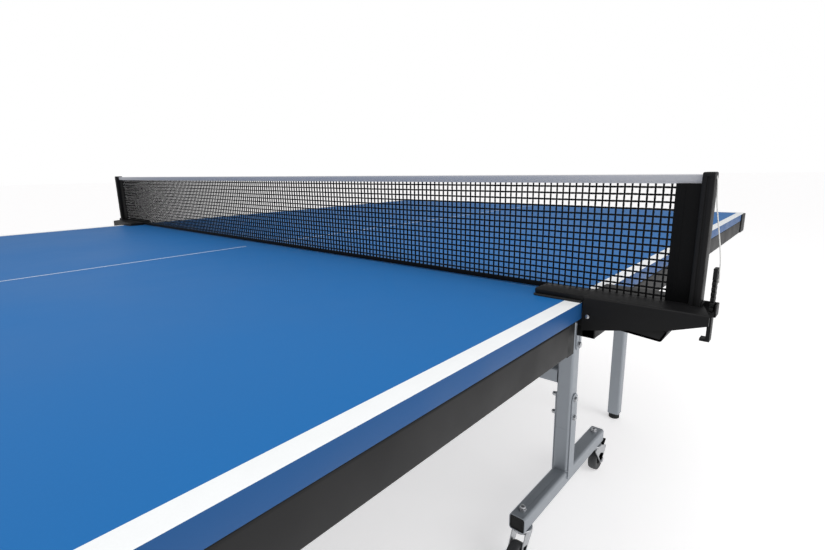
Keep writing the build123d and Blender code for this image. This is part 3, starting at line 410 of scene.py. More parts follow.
def turned(profile, steps=28, axis="Z", centre=(0, 0, 0)):
    """A turned shape: (radius, height) pairs in millimetres spun a full turn, then set along an axis."""
    bm = bmesh.new()
    chain = [bm.verts.new((r * MM, 0, h * MM)) for r, h in profile]
    edges = [bm.edges.new(pair) for pair in zip(chain, chain[1:])]
    bmesh.ops.spin(bm, geom=chain + edges, cent=(0, 0, 0), axis=(0, 0, 1), dvec=(0, 0, 0),
                   angle=math.tau, steps=steps, use_merge=True, use_duplicate=False)
    bmesh.ops.remove_doubles(bm, verts=bm.verts, dist=MICRON)
    turn = {"Z": Matrix.Identity(4), "Y": Matrix.Rotation(-math.pi / 2, 4, "X"),
            "X": Matrix.Rotation(math.pi / 2, 4, "Y")}[axis]
    bmesh.ops.transform(bm, matrix=Matrix.Translation(centre) @ turn, verts=bm.verts)
    return bm


def hexagon(radius, height, ease):
    """A hexagonal head or nut standing on the origin, its top corners chamfered."""
    bm = bmesh.new()
    bmesh.ops.create_cone(bm, cap_ends=True, segments=6, radius1=radius, radius2=radius, depth=height)
    bmesh.ops.translate(bm, vec=(0, 0, height / 2), verts=bm.verts)
    bevel(bm, above(bm, height - MICRON), ease, 2)
    bevel(bm, [e for e in bm.edges if span(e) > height / 2], 0.3 * MM, 1)
    return bm


def outwards(x, y, z, towards):
    """A placing matrix: local Z points along -Y or +Y from the given point."""
    return moved(x, y, z) @ Matrix.Rotation(math.radians(90 * -towards), 4, "X")


# Pieces
class TABLE_OT_boards(bpy.types.Operator):
    """Lacquered boards with painted lines, and edge bands whose darker blue is painted shade"""
    bl_idname = "table.boards"
    bl_label = "Playing boards"

    def execute(self, context):
        sizes = context.scene.table_board
        kinds = ("board", "line", "edge", "under", "plastic")
        corner_radius, cap_gap = 4 * MM, sizes.edge_radius / 3
        for half, places in HALVES.items():
            bm = bar(BOARD_LO, BOARD_HI, ease=0)
            corners = [e for e in bm.edges if all(v.co.x > BOARD_HI.x - MICRON for v in e.verts)
                       and span(e) > 10 * MM]
            bevel(bm, corners, corner_radius, 4)
            bevel(bm, [e for e in bm.edges if span(e) < MICRON], sizes.edge_radius, 3)
            inner = BOARD_HI.y - sizes.side_line
            end = BOARD_HI.x - sizes.side_line
            middle = sizes.centre_line / 2
            cuts = [((0, side * at, 0), (0, 1, 0)) for side in (-1, 1) for at in (inner, middle)]
            cuts += [((end, 0, 0), (1, 0, 0)), ((sizes.centre_stop, 0, 0), (1, 0, 0))]
            cap_x, cap_y = BOARD_HI.x - sizes.corner_cap, BOARD_HI.y - sizes.corner_cap
            cuts += [((cap_x, 0, 0), (1, 0, 0)), ((0, cap_y, 0), (0, 1, 0)), ((0, -cap_y, 0), (0, 1, 0))]
            for spot, across in cuts:
                bmesh.ops.bisect_plane(bm, geom=everything(bm), dist=MICRON, plane_co=spot, plane_no=across)
            for face in bm.faces:
                spot = face.calc_center_median()
                upward = face.normal.z > 0.35
                centre = abs(spot.y) < middle and spot.x > sizes.centre_stop
                lined = abs(spot.y) > inner or spot.x > end or centre
                capped = spot.x > cap_x and abs(spot.y) > cap_y and spot.z < BOARD_HI.z - cap_gap
                kind = "line" if lined else "board"
                # Faces not looking up take the underside, the corner caps or the edge band; the band's darker
                # blue is painted shade
                if not upward:
                    kind = "under" if face.normal.z < -0.5 else "plastic" if capped else "edge"
                face.material_index = kinds.index(kind)
            whole = bmesh.new()
            gather(whole, bm, places[:1])
            finished(f"playing_board_{half}", f"top_{half}", whole, kinds, [f"board_{half}"])
        return {"FINISHED"}


def channel(low, high, open_way, sizes, length_axis):
    """A folded rail: sheet steel bent to a C that opens along -open_way, ends cut square."""
    bm = bmesh.new()
    lo, hi = Vector(low), Vector(high)
    depth_axis = 1 - length_axis
    back, front = (end[depth_axis] for end in ((lo, hi) if open_way < 0 else (hi, lo)))

    def at(depth, z):
        co = [0, 0, z]
        co[depth_axis] = depth
        co[length_axis] = lo[length_axis]
        return bm.verts.new(co)

    chain = [at(front, hi.z), at(back, hi.z), at(back, lo.z), at(front, lo.z)]
    edges = [bm.edges.new(pair) for pair in zip(chain, chain[1:])]
    made = bmesh.ops.extrude_edge_only(bm, edges=edges)["geom"]
    move = Vector()
    move[length_axis] = hi[length_axis] - lo[length_axis]
    bmesh.ops.translate(bm, vec=move, verts=new_verts(made))
    bevel(bm, [e for e in bm.edges if len(e.link_faces) == 2], sizes.bend_radius, 4)
    middle = (lo + hi) / 2
    bmesh.ops.recalc_face_normals(bm, faces=bm.faces)
    web = max(bm.faces, key=lambda f: f.calc_area())
    if web.normal.dot(middle - web.calc_center_median()) > 0:
        bmesh.ops.reverse_faces(bm, faces=bm.faces)
    bmesh.ops.solidify(bm, geom=bm.faces[:], thickness=sizes.sheet)
    return bm


class TABLE_OT_aprons(bpy.types.Operator):
    """Folded steel aprons under the boards' edges"""
    bl_idname = "table.aprons"
    bl_label = "Aprons"

    def execute(self, context):
        sizes = context.scene.table_board
        depth, net_end = 25 * MM, RAIL_LO.x + 18 * MM
        guard = sizes.corner_cap
        z0, z1 = RAIL_LO.z, RAIL_HI.z
        side_y, end_y, net_y = RAIL_HI.y, RAIL_HI.y - guard, RAIL_HI.y - depth
        screw = [(4, 0), (3.6, 1.1), (2, 1.5), (1.6, 0.9), (0, 0.9)]
        for half, places in HALVES.items():
            whole = bmesh.new()
            side_rail = channel((net_end, -side_y, z0), (RAIL_HI.x - guard, depth - side_y, z1), -1, sizes, 0)
            gather(whole, side_rail, places, 0)
            end_rail = channel((RAIL_HI.x - depth, -end_y, z0), (RAIL_HI.x, end_y, z1), 1, sizes, 1)
            gather(whole, end_rail, places[:1], 0)
            net_rail = channel((RAIL_LO.x, -net_y, z0), (RAIL_LO.x + depth, net_y, z1), -1, sizes, 1)
            gather(whole, net_rail, places[:1], 0)
            under = Matrix.Rotation(math.pi, 4, "X")
            for x in SCREW_XS:
                spot = moved(x, depth / 2 - side_y, z0 + 0.4 * MM) @ under
                gather(whole, turned(screw, 16), [p @ spot for p in places], 1)
            finished(f"apron_{half}", f"top_{half}", whole, ("apron", "zinc"),
                     [f"apron_rails_{half}"])
            kept(f"corner_guards_{half}", "plastic", 0.9 * MM, 3)
            proud, reach = 3.4 * MM, guard + 14 * MM
            x1, out_y, in_y = BOARD_HI.x - 0.3 * MM, BOARD_HI.y + proud, BOARD_HI.y - MM
            plan = [(x1 - reach, -out_y), (x1, -out_y), (x1, -in_y), (x1 - reach, -in_y)]
            rounds = {0: 2.4 * MM, 1: 3.2 * MM}
            caps = bmesh.new()
            gather(caps, plate(plan, "Z", z0 + 2 * MM, BOARD_HI.z - 1.6 * MM, rounds, 0.6 * MM), places)
            finished(f"corner_caps_{half}", f"top_{half}", caps, ("plastic",))
            kept(f"underframe_{half}", "black")
        return {"FINISHED"}


class TABLE_OT_chassis(bpy.types.Operator):
    """Posts, feet, cheeks and lugs, with weld beads and end plugs"""
    bl_idname = "table.chassis"
    bl_label = "Rolling chassis"

    def execute(self, context):
        sizes = context.scene.table_frame
        for half, places in HALVES.items():
            for node in ("foot_beams", "post_frame", "leg_frame", "link_rods"):
                kept(f"{node}_{half}", "silver", 0.45 * MM)
            for node in ("cheek_plates", "pivot_lugs"):
                kept(f"{node}_{half}", "silver", sizes.edge_radius)
            kept(f"latch_{half}", "black")
            beads = bmesh.new()
            overlap, bead_round = 0.9 * MM, 0.85 * MM
            reach = TUBE / 2 + overlap
            ring = bar((POST_X - reach, -POST_Y - reach, BEAM_TOP_Z - 0.6 * MM),
                       (POST_X + reach, -POST_Y + reach, BEAM_TOP_Z + sizes.bead), ease=0)
            bevel(ring, [e for e in ring.edges if span(e) > MM], TUBE_CORNER, 5)
            bevel(ring, above(ring, BEAM_TOP_Z + MM), bead_round, 3)
            bmesh.ops.subdivide_edges(ring, edges=[e for e in ring.edges if e.calc_length() > 8 * MM],
                                      cuts=9, use_grid_fill=True)
            for vert in ring.verts:
                middle = Vector((POST_X, -POST_Y, vert.co.z))
                ripple = noise.noise(vert.co * 320) * 0.22 * MM
                vert.co += (vert.co - middle).normalized() * ripple
            gather(beads, ring, places)
            finished(f"weld_beads_{half}", f"chassis_{half}", beads, ("silver",))
            plugs = bmesh.new()
            side, plug_depth, beam_z = 17.6 * MM, 12 * MM, BEAM_TOP_Z - TUBE / 2
            for x, facing in ((BEAM_LO.x, -1), (BEAM_HI.x, 1)):
                x0, x1 = sorted((x, x - facing * plug_depth))
                plug = bar((x0, -POST_Y - side, beam_z - side), (x1, -POST_Y + side, beam_z + side), ease=0)
                bevel(plug, [e for e in plug.edges if span(e, "x") > MM], 5 * MM, 5)
                face = max(plug.faces, key=lambda f: facing * f.calc_center_median().x)
                for thickness, depth in ((1.2 * MM, 0), (1.6 * MM, 0), (0.9 * MM, -0.9 * MM)):
                    bmesh.ops.inset_region(plug, faces=[face], thickness=thickness, depth=depth,
                                           use_even_offset=True)
                outer = [e for e in plug.edges if all(abs(v.co.x - x) < MICRON for v in e.verts)
                         and len(e.link_faces) == 2 and e.calc_face_angle() > 1]
                bevel(plug, outer, 0.7 * MM, 3)
                gather(plugs, plug, places)
            finished(f"beam_end_plugs_{half}", f"chassis_{half}", plugs, ("plastic",),
                     [f"beam_plugs_{half}"])
        return {"FINISHED"}


class TABLE_OT_fasteners(bpy.types.Operator):
    """Hexagon bolts, nuts, washers, pivot rivets and castor stems"""
    bl_idname = "table.fasteners"
    bl_label = "Fasteners"

    def execute(self, context):
        across = 1.88 * context.scene.table_frame.bolt_radius
        radius = context.scene.table_frame.bolt_radius / MM
        washer = [(0, 0), (2.05 * radius, 0), (2.15 * radius, 0.3), (2.1 * radius, 0.9), (0, 0.9)]
        cap_nut = [(0, 0.5), (1.5 * radius, 0.6), (1.45 * radius, 11), (1.3 * radius, 13),
                   (0.8 * radius, 14.6), (0, 15)]
        dimple = [(0, 5.1), (0.9 * radius, 5.3), (1.1 * radius, 5.3)]
        head_height, nut_height, stem_head_height = 5.2 * MM, 4.8 * MM, 6 * MM
        rivet = [(0, 4.6), (4, 4.3), (7, 3), (8.8, 1.1), (9, 0), (0, 0)]
        small = [(0, 2.7), (3, 2.5), (5.6, 1.6), (6.8, 0), (0, 0)]
        shaft, pin, stub = ([(0, 0), (r, 0), (r, h), (0, h)] for r, h in ((4.95, 46), (4, 16.6), (3.95, 9)))
        spacer = [(0, 0), (6.9, 0), (7, 0.3), (7, 2.3), (0, 2.4)]
        race = [(5, 0.2), (17, 0.2), (19, 0), (23, 0), (24, 1), (24, 4), (23.2, 4.9), (5, 5), (5, 0.2)]
        dome = [(8.2, 5.6), (6.6, 6), (6.4, 8), (5.4, 10.2), (3.4, 11.2), (0, 11.6)]
        stem = [(0, -11.4), (8, -11.4), (8.8, -10.6), (8.8, -6.8), (4.95, -6.6), (4.95, 45), (0, 45)]
        pivot, link, latch = (joint_at(name) for name in ("tilt_b", "links_swing_b", "latch_b_catch"))
        for half, places in HALVES.items():
            whole = bmesh.new()

            def put(part, spot):
                gather(whole, part, [p @ spot for p in places])

            rows = [(z, CHEEK_OUT_Y, CHEEK_IN_Y) for z in SPLICE_BOLT_ZS]
            rows += [(z, LUG_OUT_Y, LUG_IN_Y) for z in LUG_BOLT_ZS]
            for z, out_y, in_y in rows:
                head = outwards(POST_X, -out_y, z, -1)
                nut = outwards(POST_X, -in_y, z, 1)
                twist = Matrix.Rotation(z * 40, 4, "Z")
                put(turned(washer, 24), head)
                put(hexagon(across, head_height, 0.7 * MM), head @ twist)
                put(turned(dimple, 18), head)
                put(turned(washer, 24), nut)
                put(hexagon(across, nut_height, 0.6 * MM), nut @ twist)
                put(turned(cap_nut, 24), nut)
            for profile, steps, hinge, y, towards in (
                    (rivet, 32, pivot, LUG_OUT_Y, -1), (rivet, 32, pivot, LUG_IN_Y, 1),
                    (shaft, 24, pivot, LUG_OUT_Y - MM, 1), (pin, 20, link, LUG_IN_Y + 3 * MM, 1),
                    (small, 24, link, LINK_PIN_IN_Y, 1), (spacer, 24, link, LUG_IN_Y, 1),
                    (stub, 20, latch, LUG_OUT_Y - 3.8 * MM, -1),
                    (small, 24, latch, LUG_OUT_Y + 4.9 * MM, -1)):
                put(turned(profile, steps), outwards(hinge.x, -y, hinge.z, towards))
            for x in STEM_XS:
                lift = moved(x, -POST_Y, BEAM_TOP_Z)
                put(turned(washer, 24), lift)
                put(hexagon(9.2 * MM, stem_head_height, 0.8 * MM), lift @ Matrix.Rotation(x, 4, "Z"))
                put(turned(dome, 28), lift)
                down = moved(x, -POST_Y, BEAM_LO.z - 5 * MM)
                put(turned(race, 36), down)
                put(turned(stem, 24), down)
            finished(f"fasteners_{half}", f"chassis_{half}", whole, ("zinc",), [f"chassis_fasteners_{half}"])
        return {"FINISHED"}


class TABLE_OT_castors(bpy.types.Operator):
    """Castor wheels with tyres and ribbed hubs, their forks and brake pedals"""
    bl_idname = "table.castors"
    bl_label = "Castors"

    def execute(self, context):
        tyre = [(17, -10.6), (23, -12.1), (30.5, -12.4), (33.2, -11.2),
                (34.6, -8.6), (35, -4), (35, -1.4), (34.3, -0.9)]
        tyre += [(r, -h) for r, h in reversed(tyre)]
        tyre.append(tyre[0])
        hub = [(4.05, -15.1), (7, -15.1), (7.9, -14.4), (8, -5),
               (14.2, -4.4), (14.8, -10), (15.4, -10.6), (17.1, -10.4)]
        hub += [(r, -h) for r, h in reversed(hub)]
        hub.append(hub[0])
        for half in HALVES:
            for number in "1234":
                centre = joint_at(f"roll_{half}{number}")
                whole = bmesh.new()
                gather(whole, turned(tyre, 56, "Y", centre), finish=0)
                gather(whole, turned(hub, 40, "Y", centre), finish=1)
                for step in range(6):
                    spoke = Matrix.Translation(centre) @ Matrix.Rotation(step * math.tau / 6, 4, "Y")
                    for side in (-1, 1):
                        inner, outer = (side * reach * MM for reach in (4.4, 9.6))
                        rib = bar((-0.9 * MM, inner, 7.6 * MM), (0.9 * MM, outer, 14.8 * MM), 0.3 * MM, 1)
                        gather(whole, rib, [spoke], 1)
                finished(f"wheel_{half}{number}", f"wheel_{half}{number}", whole, ("wheel", "plastic"),
                         [f"castor_wheel_{half}{number}"])
                kept(f"castor_fork_{half}{number}", "zinc")
            for number in "24":
                kept(f"brake_pedal_{half}{number}", "plastic", 0.6 * MM)
        return {"FINISHED"}


class TABLE_OT_rubber_feet(bpy.types.Operator):
    """Ribbed rubber feet pushed into the outer legs"""
    bl_idname = "table.rubber_feet"
    bl_label = "Rubber feet"

    def execute(self, context):
        x = (FOOT_LO.x + FOOT_HI.x) / 2
        y = FOOT_HI.y - (FOOT_HI.x - FOOT_LO.x) / 2
        profile = [(0, 0), (13, 0), (13.6, 0.9), (15.4, 0.9), (16, 0),
                   (17, 0.1), (18.4, 1.5), (18.5, 5.6), (17.5, 6.4),
                   (17.5, 7.6), (18.5, 8.4), (18.5, 12), (17.5, 12.8),
                   (17.5, 14), (18.5, 14.8), (18.5, 19.2), (17.8, 19.9),
                   (16, 20), (16, 35), (15, 36), (0, 36)]
        for half, places in HALVES.items():
            whole = bmesh.new()
            gather(whole, turned(profile, 40, "Z", (x, -y, 0)), places)
            finished(f"foot_caps_{half}", f"legs_{half}", whole, ("rubber",), [f"rubber_feet_{half}"])
        return {"FINISHED"}


class TABLE_OT_clamps(bpy.types.Operator):
    """Net clamps: folded arms with rivets, rack guides, and the sprung jaws below them"""
    bl_idname = "table.clamps"
    bl_label = "Net clamps"

    def execute(self, context):
        sheet, jaw_sheet = 3 * MM, 2.5 * MM
        half_w = 42 * MM
        drop_in, drop_mid, drop_out, bend_in = 36 * MM, 16.5 * MM, 3 * MM, 40 * MM
        side_y, grip_y = BOARD_HI.y + 1.5 * MM, BOARD_HI.y - 64.5 * MM
        top, seat = BOARD_HI.z + 8 * MM, BOARD_HI.z + 2 * MM
        pin = joint_at("jaw_near_open")
        outline = [(-side_y, BOARD_HI.z - drop_in), (-side_y, top), (-ARM_OUT_Y, top),
                   (-ARM_OUT_Y, BOARD_HI.z - drop_out), (bend_in - ARM_OUT_Y, BOARD_HI.z - drop_mid)]
        whole = bmesh.new()
        arm = plate(outline, "X", -half_w, half_w, ease=0)
        hidden = [f for f in arm.faces if abs(f.normal.x) < 0.5 and f.normal.z < 0.5]
        bmesh.ops.delete(arm, geom=hidden, context="FACES")
        bevel(arm, [e for e in arm.edges if len(e.link_faces) == 2 and e.calc_face_angle() > 1], 2.6 * MM, 5)
        # The outer end is cut back on both sides of the net post
        for spot, way in (((-9 * MM, 2 * MM - ARM_OUT_Y, 0), (1, -1.2, 0)),
                          ((0, 14 * MM - ARM_OUT_Y, 0), (3, -10, 0))):
            bmesh.ops.bisect_plane(arm, geom=everything(arm), dist=MICRON, plane_co=spot, plane_no=way,
                                   clear_outer=True)
        bmesh.ops.solidify(arm, geom=arm.faces[:], thickness=sheet)
        gather(whole, arm, [places[0] for places in HALVES.values()], 0)
        plan = [(-half_w, -side_y - MM), (-2 * MM, -side_y - MM), (-2 * MM, -grip_y), (-half_w, -grip_y)]
        tongue = plate(plan, "Z", seat, top, {2: 6 * MM, 3: 6 * MM}, 0.6 * MM)
        gather(whole, tongue, BOTH_SIDES, 0)
        rivet = [(0, 1.2), (1.7, 1.1), (2.5, 0.7), (2.8, -0.2), (0, -0.2)]
        for side in (-1, 1):
            spot = moved(side * half_w, pin.y, pin.z) @ Matrix.Rotation(side * math.pi / 2, 4, "Y")
            gather(whole, turned(rivet, 28), [m @ spot for m in BOTH_SIDES], 1)
        reach = half_w / MM
        shaft = [(0, -reach), (2.6, -reach), (2.6, reach), (0, reach)]
        gather(whole, turned(shaft, 20, "X", (0, pin.y, pin.z)), BOTH_SIDES, 1)
        # The rack's guide: a low wall towards -X, a high one towards +X, and two across
        out_y, in_y = 0.4 * MM - ARM_OUT_Y, -NET_POST_HI.y
        wide, wall, low, high = 8.6 * MM, 1.8 * MM, top - 10 * MM, top + 4 * MM
        for corners in (((-wide, out_y, low), (wall - wide, in_y, top - 5 * MM)),
                        ((wide - wall, out_y, low), (wide, in_y, high)),
                        ((-wide, out_y, low), (wide, out_y + wall, high)),
                        ((-wide, in_y - wall, top - 3 * MM), (wide, in_y, high))):
            gather(whole, bar(*corners, 0.6 * MM, 3), BOTH_SIDES, 0)
        finished("clamp_arms_folded", "top_a", whole, ("clamp", "zinc"), ["clamp_arms"])

        def from_pin(pairs):
            """Points given in millimetres out from the jaw's pin and above it."""
            return [(pin.y - out * MM, pin.z + rise * MM) for out, rise in pairs]

        pad_low, ledge = RAIL_HI.z - 23 * MM, RAIL_HI.z - 8.3 * MM
        pad_y = 5.5 * MM - BOARD_HI.y
        root, foot = (pin.y + side_y) / MM, (pad_low - pin.z) / MM
        cheek = from_pin([(root, foot), (9, foot), (9, -8), (83, -15), (89, -2), (41, 5), (6, 7), (root, 7)])
        floor = from_pin([(9, -8), (83, -15), (89, -2), (86.6, -2), (81.4, -12.2), (9, -5)])
        inner = half_w - sheet - 0.8 * MM
        for name, place in zip(("near", "far"), BOTH_SIDES):
            jaw = bmesh.new()
            for side in (-1, 1):
                low, high = sorted((side * inner, side * (inner - jaw_sheet)))
                gather(jaw, plate(cheek, "X", low, high, {3: 2 * MM, 4: 3 * MM}, 0.4 * MM), [place], 0)
            gather(jaw, plate(floor, "X", -inner, inner, {1: 2 * MM, 2: 3 * MM}, 0.3 * MM), [place], 0)
            pad = bar((-inner, pin.y - 9 * MM, pad_low), (-0.8 * MM, pad_y, ledge), 0.9 * MM, 3)
            lip = bar((-inner, -side_y, ledge - MM), (-0.8 * MM, pad_y, RAIL_HI.z - 0.3 * MM), 0.8 * MM, 3)
            gather(jaw, pad, [place], 1)
            gather(jaw, lip, [place], 1)
            finished(f"squeeze_jaw_{name}", f"jaw_{name}", jaw, ("clamp", "plastic"), [f"net_jaw_{name}"])
            kept(f"tension_rack_{name}", "plastic", 0.3 * MM)
        return {"FINISHED"}


class TABLE_OT_net_posts(bpy.types.Operator):
    """Grooved net posts with rounded caps"""
    bl_idname = "table.net_posts"
    bl_label = "Net posts"

    def execute(self, context):
        half, depth = NET_POST_HI.x, 12 * MM
        groove, deep, cap_height = 1.5 * MM, 1.5 * MM, 4.5 * MM
        y0, y1 = -NET_POST_HI.y, depth - NET_POST_HI.y
        middle = (y0 + y1) / 2
        cap = NET_POST_HI.z - cap_height
        outline = [(-half, y0), (half, y0), (half, middle - groove), (half - deep, middle - groove),
                   (half - deep, middle + groove), (half, middle + groove), (half, y1), (-half, y1),
                   (-half, middle + groove), (-half + deep, middle + groove),
                   (-half + deep, middle - groove), (-half, middle - groove)]
        rounds = dict.fromkeys((0, 1, 6, 7), 1.2 * MM)
        stem = plate(outline, "Z", NET_POST_LO.z, cap, rounds, 0, round_segments=3)
        whole = bmesh.new()
        gather(whole, stem, BOTH_SIDES, 0)
        top = bar((-half, y0, cap - 0.1 * MM), (half, y1, NET_POST_HI.z), 0, 2)
        bevel(top, above(top, cap + MM) + [e for e in top.edges if span(e) > MM], 1.8 * MM, 4)
        gather(whole, top, BOTH_SIDES, 1)
        finished("net_posts_grooved", "top_a", whole, ("clamp", "plastic"), ["net_posts"])
        return {"FINISHED"}


def strand(count, step, sizes, way):
    """One net cord with a knot at each crossing, from the origin along an axis."""
    bm = bmesh.new()
    made = bmesh.ops.create_circle(bm, segments=6, radius=1)["verts"]
    bmesh.ops.scale(bm, vec=(sizes.cord_depth / 2, sizes.cord_width / 2, 1), verts=made)
    ring = bm.edges[:]
    rings = [made]
    for _ in range(2 * count):
        out = bmesh.ops.extrude_edge_only(bm, edges=ring)["geom"]
        verts = new_verts(out)
        bmesh.ops.translate(bm, vec=(0, 0, step / 2), verts=verts)
        ring = [g for g in out if isinstance(g, bmesh.types.BMEdge) and all(v in verts for v in g.verts)]
        rings.append(verts)
    waist = 0.92
    for index, verts in enumerate(rings):
        factor = waist if index % 2 else sizes.knot
        for vert in verts:
            vert.co.x *= factor
            vert.co.y *= factor
    middle = count * step / 2
    for upper in (False, True):
        rim = [e for e in bm.edges if e.is_boundary and (e.verts[0].co.z > middle) == upper]
        bmesh.ops.contextual_create(bm, geom=rim)
    if way == "Y":
        bmesh.ops.transform(bm, matrix=Matrix.Rotation(-math.pi / 2, 4, "X"), verts=bm.verts)
    return bm


class TABLE_OT_net(bpy.types.Operator):
    """Knotted net, its head tape, lower band and end sleeves"""
    bl_idname = "table.net"
    bl_label = "Net"

    def execute(self, context):
        s = context.scene.table_net
        columns = round(2 * NET_HALF / s.pitch)
        step_y = 2 * NET_HALF / columns
        rows = round((NET_HI.z - NET_LO.z) / s.pitch)
        step_z = (NET_HI.z - NET_LO.z) / rows
        apart = 0.25 * MM

        def strayed(bm, seed):
            for vert in bm.verts:
                spot = Vector((vert.co.y * 60 + seed, vert.co.z * 60, seed * 0.37))
                vert.co.y += noise.noise(spot) * s.wander
                vert.co.z += noise.noise(spot + Vector((17, 5, 3))) * s.wander
                vert.co.x += noise.noise(spot * 0.4 + Vector((3, 9, 1))) * 0.1 * MM

        uprights = bmesh.new()
        places = [moved(apart, (n + 0.5) * step_y - NET_HALF, NET_LO.z) for n in range(columns)]
        gather(uprights, strand(rows, step_z, s, "Z"), places)
        strayed(uprights, 2.0)
        lines = bmesh.new()
        places = [moved(-apart, -NET_HALF, NET_LO.z + (n + 0.5) * step_z) for n in range(rows)]
        gather(lines, strand(columns, step_y, s, "Y"), places)
        strayed(lines, 2.0)
        net_rows = finished("net_rows", "top_a", lines, ("net",), soften=60)
        net_uprights = finished("net_uprights", "top_a", uprights, ("net",), ["net_mesh"],
                                soften=60)

        wide = TAPE_HI.x
        fold = [(-wide * 0.7, TAPE_LO.z), (wide * 0.7, TAPE_LO.z), (wide * 0.8, TAPE_LO.z + 3 * MM),
                (wide, TAPE_LO.z + 5.5 * MM), (wide, NET_TOP_Z), (-wide, NET_TOP_Z),
                (-wide, TAPE_LO.z + 5.5 * MM), (-wide * 0.8, TAPE_LO.z + 3 * MM)]
        tape_end = NET_HALF + 25.6 * MM
        tape = plate(fold, "Y", -tape_end, tape_end, {4: 1.5 * MM, 5: 1.5 * MM}, 0, round_segments=5)
        head = bmesh.new()
        gather(head, tape, finish=0)
        count = int(2 * tape_end / s.stitch_pitch) - 1
        for side in (-1, 1):
            stitch = bar((side * (wide * 0.8 - 0.1 * MM), -s.stitch / 2, -0.3 * MM),
                         (side * (wide * 0.8 + 0.25 * MM), s.stitch / 2, 0.3 * MM), 0.12 * MM, 1)
            gather(head, stitch, [moved(0, (n + 1) * s.stitch_pitch - tape_end, TAPE_LO.z + 2.6 * MM)
                                  for n in range(count)], 0)
        net_tape = finished("head_tape", "top_a", head, ("tape",), ["net_tape"], soften=50)

        trim = bmesh.new()
        wide, band_top = 1.3 * MM, NET_LO.z
        side_y, end_low = BOARD_HI.y + MM, BOARD_HI.z + 5 * MM
        gather(trim, bar((-wide, -side_y, BAND_LOW_Z + MM), (wide, side_y, band_top), 0.5 * MM, 2))
        gather(trim, bar((-wide, -NET_HALF, end_low), (wide, 2 * MM - side_y, band_top), 0.4 * MM, 2),
               BOTH_SIDES)
        slots = int(side_y / s.pitch)
        for way in (-1, 1):
            inner, outer = way * (wide - 0.1 * MM), way * (wide + 0.3 * MM)
            slot = bar((inner, -3.1 * MM, -0.5 * MM), (outer, 3.1 * MM, 0.5 * MM), 0.15 * MM, 1)
            gather(trim, slot, [moved(0, (n - slots / 2 + 0.5) * 2 * s.pitch, band_top - 1.4 * MM)
                                for n in range(slots)])
        # Sleeves over the net's ends, their stitched seam and the pads under the clamps
        wide, mouth, sleeve_y, seam_y = 2.4 * MM, 1.5 * MM, NET_HALF + 26 * MM, NET_HALF + 10 * MM
        plan = [(-wide, -sleeve_y), (wide, -sleeve_y), (wide, -NET_HALF - 8 * MM), (mouth, -NET_HALF),
                (-mouth, -NET_HALF), (-wide, -NET_HALF - 8 * MM)]
        rounds = {0: 1.4 * MM, 1: 1.4 * MM, 2: 2 * MM, 5: 2 * MM}
        gather(trim, plate(plan, "Z", end_low, TAPE_LO.z + 0.4 * MM, rounds, 0.3 * MM), BOTH_SIDES)
        rise = [moved(0, 0, BOARD_HI.z + 9 * MM + n * 4.2 * MM) for n in range(32)]
        for way in (-1, 1):
            tack = bar((way * 2.3 * MM, -seam_y - 0.3 * MM, -1.5 * MM),
                       (way * 2.65 * MM, -seam_y + 0.3 * MM, 1.5 * MM), 0.12 * MM, 1)
            gather(trim, tack, [m @ up for m in BOTH_SIDES for up in rise])
        pad_in, pad_out, grip_y = -46.6 * MM, -2.3 * MM, BOARD_HI.y - 64.1 * MM
        plan = [(pad_in, -BOARD_HI.y), (pad_out, -BOARD_HI.y), (pad_out, -grip_y), (pad_in, -grip_y)]
        pad = plate(plan, "Z", BOARD_HI.z, BOARD_HI.z + 2 * MM, {2: 6 * MM, 3: 6 * MM}, 0.3 * MM)
        gather(trim, pad, BOTH_SIDES, 1)
        net_trim = finished("net_bindings", "top_a", trim, ("net", "rubber"), ["net_trim"])
        return {"FINISHED"}


class TABLE_OT_head_cords(bpy.types.Operator):
    """White braided cords from the net's head line down to the racks"""
    bl_idname = "table.head_cords"
    bl_label = "Head cords"

    def execute(self, context):
        radius = context.scene.table_net.head_cord / 2
        for side, name in ((-1, "near"), (1, "far")):
            low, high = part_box(f"tension_cord_{name}")
            post_y = -NET_POST_HI.y - radius - 0.3 * MM
            hold_y = -RACK_OUT_Y - radius - 0.2 * MM
            path = [(0, -NET_HALF - 27.5 * MM, NET_TOP_Z - 0.6 * MM),
                    (0, post_y + 2.5 * MM, NET_TOP_Z - 0.3 * MM), (0, post_y, NET_TOP_Z - 3.5 * MM),
                    (0.3 * MM, post_y - 1.6 * MM, high.z - 32 * MM),
                    (0.2 * MM, (post_y + 2 * hold_y) / 3, low.z + 34 * MM), (0, hold_y, low.z + 7 * MM),
                    (0, hold_y, low.z - 3 * MM), (1.2 * MM, hold_y - 0.3 * MM, low.z - 9 * MM),
                    (0.4 * MM, hold_y - 0.6 * MM, low.z - 17 * MM)]
            curve = bpy.data.curves.new(f"head_cord_{name}", "CURVE")
            curve.dimensions = "3D"
            curve.bevel_depth = radius
            curve.bevel_resolution = 2
            curve.resolution_u = 10
            curve.use_fill_caps = True
            line = curve.splines.new("NURBS")
            line.points.add(len(path) - 1)
            for point, (x, y, z) in zip(line.points, path):
                point.co = (x, -side * y, z, 1)
            line.order_u = 3
            line.use_endpoint_u = True
            holder = placed("cord carrier", curve)
            mesh = bpy.data.meshes.new_from_object(holder.evaluated_get(context.evaluated_depsgraph_get()))
            bpy.data.objects.remove(holder)
            mesh.materials.clear()
            mesh.materials.append(finishes()["cord"])
            piece = placed(f"head_cord_{name}", mesh)
            mesh.polygons.foreach_set("use_smooth", [True] * len(mesh.polygons))
            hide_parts(f"tension_cord_{name}")
            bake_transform(piece)
        return {"FINISHED"}


